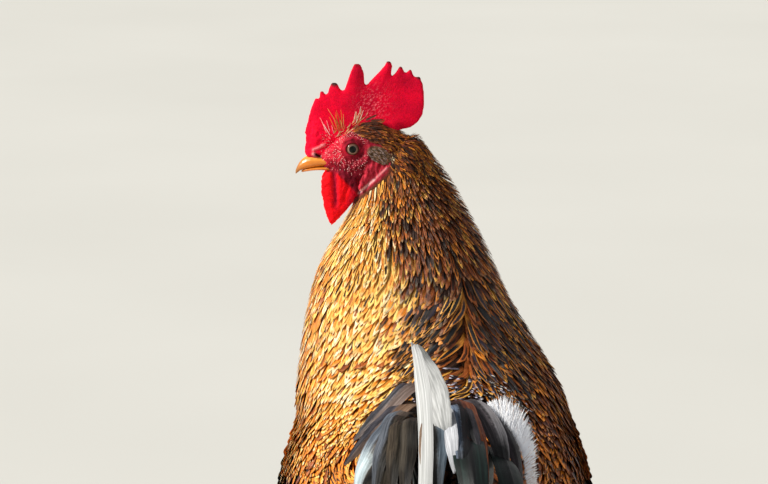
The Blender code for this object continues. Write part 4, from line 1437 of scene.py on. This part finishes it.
def solid_colour(colours, alphas):
    """One colour for each feather, with its strength."""
    return np.column_stack([np.array(colours, float), alphas])


def plain(ground):
    """Colours of a single feather without marks: ground, fleck and tip."""
    return shades(1, ground, 0), shades(1, GREY, 0, 0), shades(1, WHITE, 0, 0)


# Rows of a folded wing: how many feathers, the first one's root, the step to the next (Y, Z), the length and
# its step, width, the lift and its step, ground colours taken in turn, and whether the tips are pale
WING_ROWS = [
    (6, (0.12, -0.075, 0.252), (0.006, 0.003), (0.105, 0.006), 0.016, (0.0004, 0.0004),
     (BROWN, GREEN_BLACK), False),
    (9, (0.13, -0.085, 0.264), (0.007, 0.0045), (0.100, 0.001), 0.019, (0.0030, 0.0004),
     (RUST,) * 7 + (MAHOGANY,) * 2, False),
    (10, (0.13, -0.112, 0.262), (0.007, 0.0048), (0.042, 0.0), 0.016, (0.0070, 0.0003),
     (GREEN_BLACK,), True),
]


def make_flight_feathers():
    """Primaries, secondaries and greater coverts of each folded wing, laid over its lower half."""
    finish = feather_finish("flight", roughness=0.40, gloss=0.5, streak=(0.15, 0.98), core=(0.05, 0.75),
                            tip_from=0.95, barb_pitch=0.012)
    segments = 14
    for side, end in SIDES:
        roots, lengths, widths, ground, tips, lifts = [], [], [], [], [], []
        for number, (x, y, z), step, (length, longer), width, (lift, higher), colours, pale in WING_ROWS:
            for k in range(number):
                roots.append((side * x, y + step[0] * k, z + step[1] * k))
                lengths.append(length + longer * k)
                widths.append(width)
                ground.append(colours[k % len(colours)])
                tips.append(0.25 + 0.6 * RNG.random() if pale else 0.0)
                lifts.append(lift + higher * k)
        count = len(roots)

        def heading(points, normals, share):
            return np.tile((0.0, 1.0, -0.10 - 0.05 * share), (count, 1))

        line, facing, _ = draped(coat, np.array(roots), np.array(lengths) / segments, segments, heading)
        share = np.linspace(0, 1, segments + 1)[None, :, None]
        line = line + facing * (-0.004 + share * (0.004 + np.array(lifts)[:, None, None] * 0.55))
        fleck = marks(count, (BLACK,), (1,), 0.3, 0.7)
        tip = picked(count, (WHITE,), (1,))
        tip[:, 3] = tips
        colours = (solid_colour(ground, np.ones(count)), fleck, tip)
        plumes("flight_" + end, finish, "wing", line, facing, np.array(widths), "strap", colours, crown=0.08)


# Tail feathers of one side: angle over the level in degrees, and length
FAN_FEATHERS = [(27, 0.104), (20, 0.130), (13, 0.152), (6, 0.168), (-1, 0.174), (-8, 0.166)]
FAN_LEAN = math.radians(12)  # how far each side's fan leans outwards
FAN_GAP = 0.0009  # between one feather and the next


def fan_line(side, angle, length, stations, inward):
    """A tail feather of one side, straight out from the tail's root and a little bowed."""
    share = np.linspace(0, 1, stations)
    up = math.radians(angle)
    back = share * math.cos(up) * length
    rise = (share * math.sin(up) - 0.06 * share * (1 - share)) * length
    lean = FAN_LEAN * side
    start = TAIL_ROOT + np.array((side * (0.017 - inward), -0.004, -0.010))
    return start + np.stack([rise * math.sin(lean), back, rise * math.cos(lean)], axis=1)


def make_tail():
    """The straight feathers of the tail, in a fan on each side."""
    finish = feather_finish("tail", roughness=0.36, gloss=0.55, streak=(0.10, 0.99), core=(0.02, 0.30),
                            tip_from=0.90, barb_pitch=0.010)
    stations = 22
    count = len(FAN_FEATHERS)
    for side, end in SIDES:
        lines = []
        for k, (angle, length) in enumerate(FAN_FEATHERS):
            lines.append(fan_line(side, angle, length, stations, FAN_GAP * (count - k)))
        facing = np.tile((side * math.cos(FAN_LEAN), 0.0, -math.sin(FAN_LEAN)), (count, stations, 1))
        ground = picked(count, (GREEN_BLACK, BLACK, SLATE), (3, 2, 1), 0.2)
        fleck = marks(count, (BLACK,), (1,), 0.3, 0.6)
        tip = marks(count, (WHITE, GREY), (1, 1), 0.0, 0.8)
        made = plumes("tail_vanes_" + end, finish, "tail", np.stack(lines), facing, np.full(count, 0.030),
                      "strap", (ground, fleck, tip), crown=0.06)
        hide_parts("tail_fan_" + end)


ARCH = np.array((0.0, 0.09, 0.32))  # the tail's small sickles arch round this point
WHITE_RISING = np.array((0.0, -0.78, 0.62))  # which way the white sickle's face looks on its way up
WHITE_HANGING = np.array((0.45, 0.85, 0.25))
WHITE_LEAF = np.array((0.45, 0.80, 0.40))

SECOND_SICKLE = [(0.030, 0.004, -0.004), (0.036, 0.042, 0.018), (0.043, 0.088, 0.026),
                 (0.050, 0.132, 0.006), (0.055, 0.162, -0.032), (0.058, 0.174, -0.074)]

# Each long sickle: path from the tail's root, width and ground colour
SICKLES = {
    "sickle_main_left": ([
        (0.004, 0.0, 0.0), (0.000, 0.035, 0.032), (0.003, 0.064, 0.067), (0.0080, 0.075, 0.085),
        (0.0140, 0.084, 0.098), (0.0195, 0.096, 0.1085), (0.0175, 0.124, 0.105), (0.0143, 0.150, 0.087),
        (0.0130, 0.172, 0.063), (0.0135, 0.190, 0.036), (0.0145, 0.203, 0.006), (0.0155, 0.211, -0.018)],
        0.030, PLUME_WHITE),
    "sickle_main_right": ([
        (-0.010, 0.0, 0.0), (-0.012, 0.032, 0.030), (-0.015, 0.080, 0.046), (-0.019, 0.134, 0.034),
        (-0.023, 0.180, -0.006), (-0.026, 0.203, -0.050)], 0.024, GREEN_BLACK),
    "sickle_second_left": (SECOND_SICKLE, 0.021, OLIVE),
    "sickle_second_right": ([(-x, y, z) for x, y, z in SECOND_SICKLE], 0.021, GREEN_BLACK),
}

# Small sickles: path, width, colours of the outer and the inner half, and colour and strength of the end
# The grey and blue-grey halves and the pale blue-grey ends on these black feathers are partly their own
# colour, partly painted sheen.
LEFT_ARCS = [
    ([(0.004, 0.085, 0.385), (0.020, 0.115, 0.420), (0.042, 0.125, 0.403), (0.051, 0.130, 0.395),
      (0.061, 0.135, 0.385)],
     0.019, (0.050, 0.048, 0.058), (0.20, 0.15, 0.13), SLATE, 0.5),
    ([(0.006, 0.085, 0.380), (0.022, 0.120, 0.409), (0.039, 0.140, 0.401), (0.053, 0.150, 0.3895),
      (0.067, 0.157, 0.374)],
     0.018, (0.045, 0.042, 0.052), (0.24, 0.15, 0.10), (0.035, 0.035, 0.045), 0.6),
    ([(0.006, 0.090, 0.375), (0.026, 0.130, 0.405), (0.0386, 0.155, 0.399), (0.049, 0.165, 0.3865),
      (0.0565, 0.170, 0.372), (0.060, 0.172, 0.352)],
     0.016, (0.12, 0.14, 0.17), (0.11, 0.085, 0.07), (0.60, 0.70, 0.74), 1.0),
    ([(0.006, 0.090, 0.372), (0.030, 0.140, 0.4045), (0.0386, 0.170, 0.395), (0.044, 0.185, 0.382),
      (0.047, 0.190, 0.356)],
     0.014, (0.09, 0.10, 0.12), (0.035, 0.028, 0.020), SLATE, 0.4),
    ([(0.006, 0.090, 0.370), (0.028, 0.150, 0.4035), (0.032, 0.180, 0.3945), (0.0345, 0.198, 0.380),
      (0.0355, 0.212, 0.356)],
     0.013, (0.060, 0.045, 0.030), (0.030, 0.024, 0.016), BLACK, 0.5),
    ([(0.004, 0.090, 0.368), (0.021, 0.160, 0.408), (0.024, 0.190, 0.394), (0.026, 0.208, 0.378),
      (0.027, 0.222, 0.352)],
     0.012, (0.045, 0.036, 0.026), (0.024, 0.019, 0.014), BLACK, 0.4),
]
RIGHT_ARCS = [
    ([(-0.010, 0.075, 0.382), (-0.0235, 0.090, 0.401), (-0.0377, 0.105, 0.3945), (-0.047, 0.120, 0.384),
      (-0.0525, 0.130, 0.370), (-0.057, 0.135, 0.342)],
     0.019, (0.060, 0.055, 0.065), (0.018, 0.010, 0.016), BLACK, 0.3),
    ([(-0.008, 0.078, 0.382), (-0.0205, 0.100, 0.4045), (-0.0315, 0.120, 0.4005),
      (-0.0385, 0.140, 0.3895), (-0.0425, 0.152, 0.374), (-0.0455, 0.158, 0.346)],
     0.018, (0.30, 0.28, 0.29), (0.05, 0.04, 0.045), BLACK, 1.2),
    ([(-0.004, 0.080, 0.380), (-0.0120, 0.108, 0.4060), (-0.0170, 0.135, 0.4040),
      (-0.0225, 0.162, 0.3925), (-0.0262, 0.177, 0.376), (-0.0295, 0.184, 0.348)],
     0.018, (0.23, 0.066, 0.024), (0.035, 0.014, 0.012), BLACK, 0.2),
    ([(-0.005, 0.085, 0.378), (-0.0145, 0.115, 0.405), (-0.020, 0.150, 0.400), (-0.0236, 0.175, 0.386),
      (-0.0258, 0.187, 0.353)],
     0.009, (0.040, 0.036, 0.044), (0.008, 0.008, 0.010), BLACK, 0.4),
    ([(-0.003, 0.085, 0.375), (-0.010, 0.120, 0.4065), (-0.0125, 0.160, 0.399), (-0.013, 0.190, 0.386),
      (-0.0138, 0.204, 0.356)],
     0.012, (0.008, 0.008, 0.010), (0.15, 0.19, 0.26), BLACK, 0.9),
    ([(0.000, 0.090, 0.375), (0.004, 0.130, 0.4065), (0.0034, 0.170, 0.395), (0.0040, 0.192, 0.380),
      (0.0045, 0.204, 0.354)],
     0.014, (0.14, 0.18, 0.22), (0.030, 0.028, 0.026), BLACK, 0.5),
]

# The white leaf that stands in front of the white sickle's rise
LEAF_PATH = [(-0.004, 0.150, 0.388), (-0.0010, 0.160, 0.3990), (0.0022, 0.156, 0.4120),
             (0.0052, 0.151, 0.4237), (0.0094, 0.148, 0.4358), (0.0158, 0.147, 0.448),
             (0.0216, 0.152, 0.4588)]

# The white feather beside the long white sickle, to its right
COVERT_PATH = [(0.000, 0.080, 0.375), (-0.003, 0.125, 0.400), (-0.0035, 0.150, 0.4035),
               (-0.0048, 0.170, 0.3975), (-0.0062, 0.184, 0.3885), (-0.0072, 0.190, 0.3775)]
COVERT_COLOUR = (0.50, 0.51, 0.54)

# A brown strand that lies along the outer edge of the white sickle
STRAND_PATH = [(0.0155, 0.2240, 0.4225), (0.0165, 0.2301, 0.4150), (0.0175, 0.2362, 0.4075),
               (0.0180, 0.2415, 0.4000)]
STRAND_COLOUR = (0.24, 0.16, 0.11)


def outward(line):
    return unit(line - ARCH)


def make_tail_coverts():
    """Rounded dark feathers that clothe the tail's foot on both sides, from above to below."""
    finish = feather_finish("tail_coverts", roughness=0.42, gloss=0.3, streak=(0.2, 0.9), core=(0.3, 0.7),
                            tip_from=0.93, barb_pitch=0.016)
    stations = 14
    share = np.linspace(0, 1, stations)[:, None]
    places = [(row, math.radians(-78 + 19 * k + 9 * (row % 2))) for row in range(4) for k in range(8)]
    for side, end in SIDES:
        lines, normals, widths = [], [], []
        for row, angle in places:
            across, high = side * math.cos(angle), math.sin(angle)
            out = unit(np.array((across, -0.10, high)))
            ring = np.array((side * (0.006 + 0.020 * math.cos(angle)), 0.0, 0.022 * high))
            start = TAIL_ROOT + np.array((0.0, -0.006 + 0.019 * row, -0.012 + 0.006 * row)) + ring
            ahead = np.array((side * 0.10 * math.cos(angle), 1.0, 0.26 + 0.12 * high))
            bow = out * 0.007 * np.sin(math.pi * np.minimum(share * 1.15, 1))
            lines.append(start + unit(ahead) * 0.058 * share + bow)
            normals.append(np.tile(out, (stations, 1)))
            widths.append(0.019 + 0.002 * RNG.random())
        count = len(lines)
        ground = picked(count, (GREEN_BLACK, OLIVE, BROWN, BLACK), (3, 3, 2, 1), 0.2)
        fleck = marks(count, (BLACK,), (1,), 0.3, 0.8)
        tip = marks(count, (RUST, GREY), (3, 1), 0.0, 0.5)
        plumes("tail_coverts_" + end, finish, "tail", np.stack(lines), np.stack(normals), np.array(widths),
               "round", (ground, fleck, tip), crown=0.14)


SICKLE_STATIONS = 30


def make_long_sickles(pale):
    """The four long sickles, of which the left main one is white and turns on its way. Returns its mesh."""
    dark = feather_finish("sickle", roughness=0.36, gloss=0.3, streak=(0.06, 0.99), core=(0.10, 0.72),
                          tip_from=0.95, barb_pitch=0.008)
    turn = smooth_step(0.35, 0.60, np.linspace(0, 1, SICKLE_STATIONS))[:, None]
    for name, (path, width, ground) in SICKLES.items():
        line = curve_through(path, SICKLE_STATIONS) + TAIL_ROOT
        is_white = ground == PLUME_WHITE
        if is_white:
            finish, profile, mark = pale, "bent", 0.0
            facing = unit(WHITE_RISING * (1 - turn) + WHITE_HANGING * turn)
        else:
            finish, profile, mark = dark, "sickle", 0.6
            facing = outward(line)
        colours = (shades(1, ground, 0), shades(1, BLACK, 0, mark), shades(1, WHITE, 0, 0))
        made = plumes(name + "_vane", finish, "tail", line[None], facing[None], np.array([width]), profile,
                      colours, columns=13, crown=0.16)
        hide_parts(name)
        if is_white:
            white = made.data
    return white


def make_small_sickles():
    """The small sickles that arch over the tail, with an outer and an inner half of their own colours."""
    arched = feather_finish("small_sickle", roughness=0.45, gloss=0.25, tip_from=0.64, fade=0.12,
                            barb_pitch=0.010, halves=True)
    for end, table in (("left", LEFT_ARCS), ("right", RIGHT_ARCS)):
        paths, widths, outer, inner, ends, end_strength = zip(*table)
        line = arcs(paths, SICKLE_STATIONS)
        ones = np.ones(len(table))
        near, far = (outer, inner) if end == "left" else (inner, outer)
        colours = (solid_colour(near, ones), solid_colour(far, ones), solid_colour(ends, end_strength))
        plumes("small_sickles_" + end, arched, "tail", line, outward(line), np.array(widths), "sickle",
               colours, crown=0.20)


def make_sickles():
    """The long and small sickles, the two feathers beside the white one, and the brown strand on it."""
    pale = feather_finish("white_sickle", roughness=0.6, gloss=0.2, streak=(0.05, 0.90), core=(0.02, 0.10),
                          tip_from=0.96, barb_pitch=0.010)
    sickle = Surface(make_long_sickles(pale))
    make_small_sickles()
    ground, clear = (solid_colour([COVERT_COLOUR], [alpha]) for alpha in (1.0, 0.0))
    facing = np.tile((0.25, 0.95, 0.2), (1, SICKLE_STATIONS, 1))
    plumes("white_coverts", pale, "tail", arcs([COVERT_PATH], SICKLE_STATIONS), facing, np.array([0.0120]),
           "sickle", (ground, clear, clear), crown=0.15)
    facing = np.tile(WHITE_LEAF, (1, SICKLE_STATIONS, 1))
    plumes("white_leaf", pale, "tail", arcs([LEAF_PATH], SICKLE_STATIONS), facing, np.array([0.0215]), "leaf",
           plain(PLUME_WHITE), columns=13, crown=0.15)
    outside = unit(WHITE_HANGING)
    places, _ = sickle.nearest(curve_through(STRAND_PATH, SICKLE_STATIONS) + outside * 0.002)
    plumes("sickle_strand", pale, "tail", places[None], np.tile(outside, (1, SICKLE_STATIONS, 1)),
           np.array([0.0030]), "sickle", plain(STRAND_COLOUR), crown=0.05)


# Where the down starts and how far it reaches, along the outermost of the right small sickles
FLUFF_ROOTS = [(-0.0351, 0.098, 0.3958), (-0.0411, 0.107, 0.3946), (-0.0463, 0.117, 0.3909),
               (-0.0516, 0.125, 0.3845), (-0.0552, 0.130, 0.3773), (-0.0575, 0.134, 0.3691),
               (-0.0588, 0.138, 0.3588), (-0.0602, 0.141, 0.3489)]
FLUFF_TIPS = [(-0.0338, 0.094, 0.4005), (-0.0392, 0.099, 0.4044), (-0.0466, 0.107, 0.4062),
              (-0.0532, 0.116, 0.4036), (-0.0581, 0.123, 0.3969), (-0.0621, 0.129, 0.3885),
              (-0.0640, 0.134, 0.3799), (-0.0646, 0.138, 0.3703), (-0.0652, 0.141, 0.3597),
              (-0.0659, 0.144, 0.3499)]


def make_fluff():
    """Soft white down along the outer edge of the right small sickles, spread in fine spikes. It glows
    faintly as painted light, and is creamier and browner towards its lower end, partly as painted shade.
    """
    # The faint emission is a painted glow that brightens the down where the tail shades it.
    finish = feather_finish("glowing_fluff", roughness=0.8, gloss=0.1, streak=(2.0, 3.0), Subsurface_Weight=0.6,
                            Subsurface_Scale=0.004, Subsurface_Radius=(1.0, 1.0, 1.0), Emission_Strength=0.10,
                            Emission_Color=(0.9, 0.93, 1.0))
    count, fine, stations = 2600, 400, 5
    at = np.sort(RNG.random(count)) ** 1.25
    inner, outer = curve_through(FLUFF_ROOTS, fine), curve_through(FLUFF_TIPS, fine)
    place = (at * (fine - 1)).astype(int)
    roots = inner[place] + RNG.normal(0, 0.0007, (count, 3))
    reach = (outer[place] - inner[place]) * (0.30 + 0.70 * RNG.random((count, 1)))
    reach = reach + RNG.normal(0, 0.13, (count, 3)) * np.linalg.norm(reach, axis=1)[:, None]
    share = np.linspace(0, 1, stations)[None, :, None]
    line = roots[:, None] + reach[:, None] * share
    line[..., 2] += 0.0008 * share[..., 0] * (1 - share[..., 0])
    facing = np.broadcast_to(unit(np.array((0.7, 0.5, 0.5))), line.shape)
    ahead = np.repeat(unit(reach)[:, None], stations, axis=1)
    # Creamier and browner towards the lower end, in the tail's shadow: partly painted shade.
    low = smooth_step(0.6, 0.9, at)
    ground = either(picked(count, ((0.97, 0.97, 0.98), (0.90, 0.92, 0.98)), (4, 1), 0.02),
                    picked(count, ((0.85, 0.78, 0.72), (0.60, 0.45, 0.35)), (2, 1), 0.05), 0.08 + 0.8 * low)
    clear = strength(ground, 0, 0)
    flat = np.full(count, 0.0002)
    feather_piece("glowing_fluff", finish, "tail", (line, facing, ahead), np.full(count, 0.0008), "pointed", flat,
                  flat, (ground, clear, clear), thick=0.0002)


# Legs

# Each toe: angle from straight ahead in degrees, and length
TOES = (("inner", -30, 0.046), ("middle", 3, 0.062), ("outer", 35, 0.049), ("back", 165, 0.024))

# Rows of plates down the shank: turn from the front in degrees, width, length and number
PLATE_ROWS = ((0, 0.0088, 0.0072, 19), (52, 0.0058, 0.0056, 24), (-52, 0.0058, 0.0056, 24),
              (180, 0.0070, 0.0056, 24), (125, 0.0052, 0.0056, 24), (-125, 0.0052, 0.0056, 24))
LEG_VOXEL = 0.0011
HORN_VOXEL = 0.0004


def on_floor(mesh):
    """The mesh with nothing under the floor."""
    points = coordinates(mesh)
    points[:, 2] = np.maximum(points[:, 2], 0)
    return moved(mesh, points)


def plate_places(side):
    """Where the plates of a leg start, which way they run, and their lengths and widths."""
    mirror = np.array((side, 1, 1))
    foot, hock = FOOT * mirror, HOCK * mirror
    places = []
    for row, (degrees, width, length, count) in enumerate(PLATE_ROWS):
        turn = math.radians(degrees)
        front = np.array((math.sin(turn) * side, -math.cos(turn), -0.3))
        for k in range(count):
            share = (k + 0.5 * (row % 2)) / count
            root = hock + (foot - hock) * (0.02 + 0.90 * share) + front * 0.010
            places.append((root, unit(foot - hock), length, width))
    for _, angle, reach in TOES:
        turn = math.radians(angle)
        ahead = np.array((side * math.sin(turn), -math.cos(turn), 0))
        count = int(reach / 0.0037)
        for k in range(count):
            root = foot + ahead * (0.004 + (reach - 0.007) * k / count) + UP * 0.010
            places.append((root, ahead, 0.0052, 0.0074 - 0.0022 * k / count))
    return [np.array(part) for part in zip(*places)]


def make_plates(leg, side, end, finish):
    """Overlapping plates down the shank and along the toes."""
    roots, headings, lengths, widths = plate_places(side)
    count, segments = len(roots), 4
    line, facing, _ = draped(leg, roots, lengths / segments, segments, lambda p, n, s: headings)
    share = np.linspace(0, 1, segments + 1)[None, :, None]
    line = line + facing * (0.0002 + 0.0005 * share)
    colours = (shades(count, (0.74, 0.50, 0.10), 0.12), shades(count, (0.50, 0.30, 0.06), 0.1, 0.25),
               shades(count, (0.86, 0.68, 0.30), 0.1, 0.5))
    plumes("scutes_" + end, finish, "leg", line, facing, widths, "plate", colours, columns=7, crown=0.42,
           thick=0.0005, shaft=0.0, ragged=0.0, patch=0.004)


def make_legs():
    """Shanks and toes in fine skin under overlapping plates, and horn claws and spurs."""
    leg_material, plate_material, claw_material = leg_finishes()
    for side, end in SIDES:
        names = ["shank_" + end] + ["toe_%s_%s" % (toe, end) for toe, _, _ in TOES]
        leg = Surface(on_floor(remeshed(welded(names, 0.0006), LEG_VOXEL, 5)))
        leg.mesh.shade_smooth()
        hand_over(link("leg_skin_" + end, leg.mesh, leg_material), "leg", *names)
        make_plates(leg, side, end, plate_material)
        for name in ["spur_" + end] + ["claw_%s_%s" % (toe, end) for toe, _, _ in TOES]:
            horn = on_floor(remeshed(welded([name], 0.0001), HORN_VOXEL, 4))
            horn.shade_smooth()
            hand_over(link(name + "_horn", horn, claw_material), "claw", name)


def leg_finishes():
    """The leg's skin, its plates, and the horn of claws and spurs."""
    leg = Finish("leg_skin", Roughness=0.55, Specular_IOR_Level=0.4)
    grain = leg.cells(700)
    leg.colour(leg.mix(leg.span(grain, 0.1, 0.6), (0.78, 0.54, 0.13), (0.52, 0.31, 0.07)))
    leg.bump(grain, 0.0005, 0.8)
    scute = feather_finish("scute", roughness=0.42, gloss=0.5, streak=(0.1, 0.8), core=(0.1, 0.9),
                           tip_from=0.80, barb_pitch=0.5)
    claw = Finish("claw_horn", Roughness=0.35, Specular_IOR_Level=0.5)
    lines = claw.noise(400, 3.0)
    claw.colour(claw.mix(lines, (0.34, 0.23, 0.12), (0.66, 0.52, 0.33)))
    claw.bump(lines, 0.0001, 0.5)
    return leg.material, scute, claw.material


# ---------------------------------------------------------------- build

COAT_VOXEL = 0.0032
COAT_SMOOTHING = 22
TRUNK, NECK, WING, THIGH = range(4)


def homes_of(points):
    """Which part of the bird each point of the outline belongs to."""
    parts = (["trunk"], ["neck_lower", "neck_upper", "head"], ["wing_left", "wing_right"],
             ["thigh_left", "thigh_right"])
    return np.argmin([distance_to(names, points) for names in parts], axis=0)


coat = Surface(remeshed(welded(FLESH, CLOSING), COAT_VOXEL, COAT_SMOOTHING))
coat.homes = homes_of(coat.points)
face = Surface(make_skin())
make_eyes()
make_bill()
make_hackle()
make_parting()
make_speckles()
make_crown()
make_face_feathers()
make_body()
make_thighs()
make_saddle()
make_wing_coverts()
make_flight_feathers()
make_tail()
make_tail_coverts()
make_sickles()
make_fluff()
make_legs()

# ---------------------------------------------------------------- camera, light and floor

AIM = Vector((0.040, HEAD[1], 0.454))
CAMERA_DISTANCE = 2.30
CAMERA_PITCH = math.radians(12)
FLOOR_SIZE = 40
WARM_WHITE = (1.0, 0.97, 0.91)
COOL_WHITE = (0.95, 0.97, 1.0)
SKY = (0.90, 0.92, 0.95, 1)


def face_along(made, way):
    """Turns a camera or a light, which look down their own Z, along a direction."""
    made.rotation_mode = "QUATERNION"
    made.rotation_quaternion = way.to_track_quat("-Z", "Y")


def make_camera():
    data = bpy.data.cameras.new("camera")
    data.lens = 135
    data.sensor_width = 36
    camera = link("camera", data)
    back = Vector((0, math.cos(CAMERA_PITCH), math.sin(CAMERA_PITCH)))
    camera.location = AIM + back * CAMERA_DISTANCE
    face_along(camera, -back)
    bpy.context.scene.camera = camera


def lamp(name, kind, power, colour):
    data = bpy.data.lights.new(name, kind)
    data.energy = power
    data.color = colour
    return link(name, data)


def make_floor():
    finish = Finish("floor", Roughness=1.0, Specular_IOR_Level=0.0)
    finish.colour(finish.mix(finish.noise(1.3, 3.0), (0.59, 0.585, 0.550), (0.655, 0.650, 0.615)))
    bpy.ops.mesh.primitive_plane_add(size=FLOOR_SIZE)
    floor = bpy.context.object
    floor.name = "floor"
    floor.data.materials.append(finish.material)


def make_studio():
    """A pale floor, a soft sun from the bird's left, a faint fill light from behind, and a pale sky."""
    make_floor()
    key = lamp("key", "SUN", 5.6, WARM_WHITE)
    key.data.angle = math.radians(14)
    face_along(key, Vector((-1.0, -0.25, -0.70)))
    fill = lamp("fill", "AREA", 12, COOL_WHITE)
    fill.data.shape = "DISK"
    fill.data.size = 2.4
    fill.location = (-1.6, 2.4, 1.6)
    face_along(fill, Vector((0, -0.1, 0.35)) - fill.location)
    world = bpy.data.worlds.new("studio")
    world.use_nodes = True
    background = world.node_tree.nodes["Background"].inputs
    background["Color"].default_value = SKY
    background["Strength"].default_value = 0.30
    bpy.context.scene.world = world
    bpy.context.scene.view_settings.view_transform = "Standard"


make_camera()
make_studio()
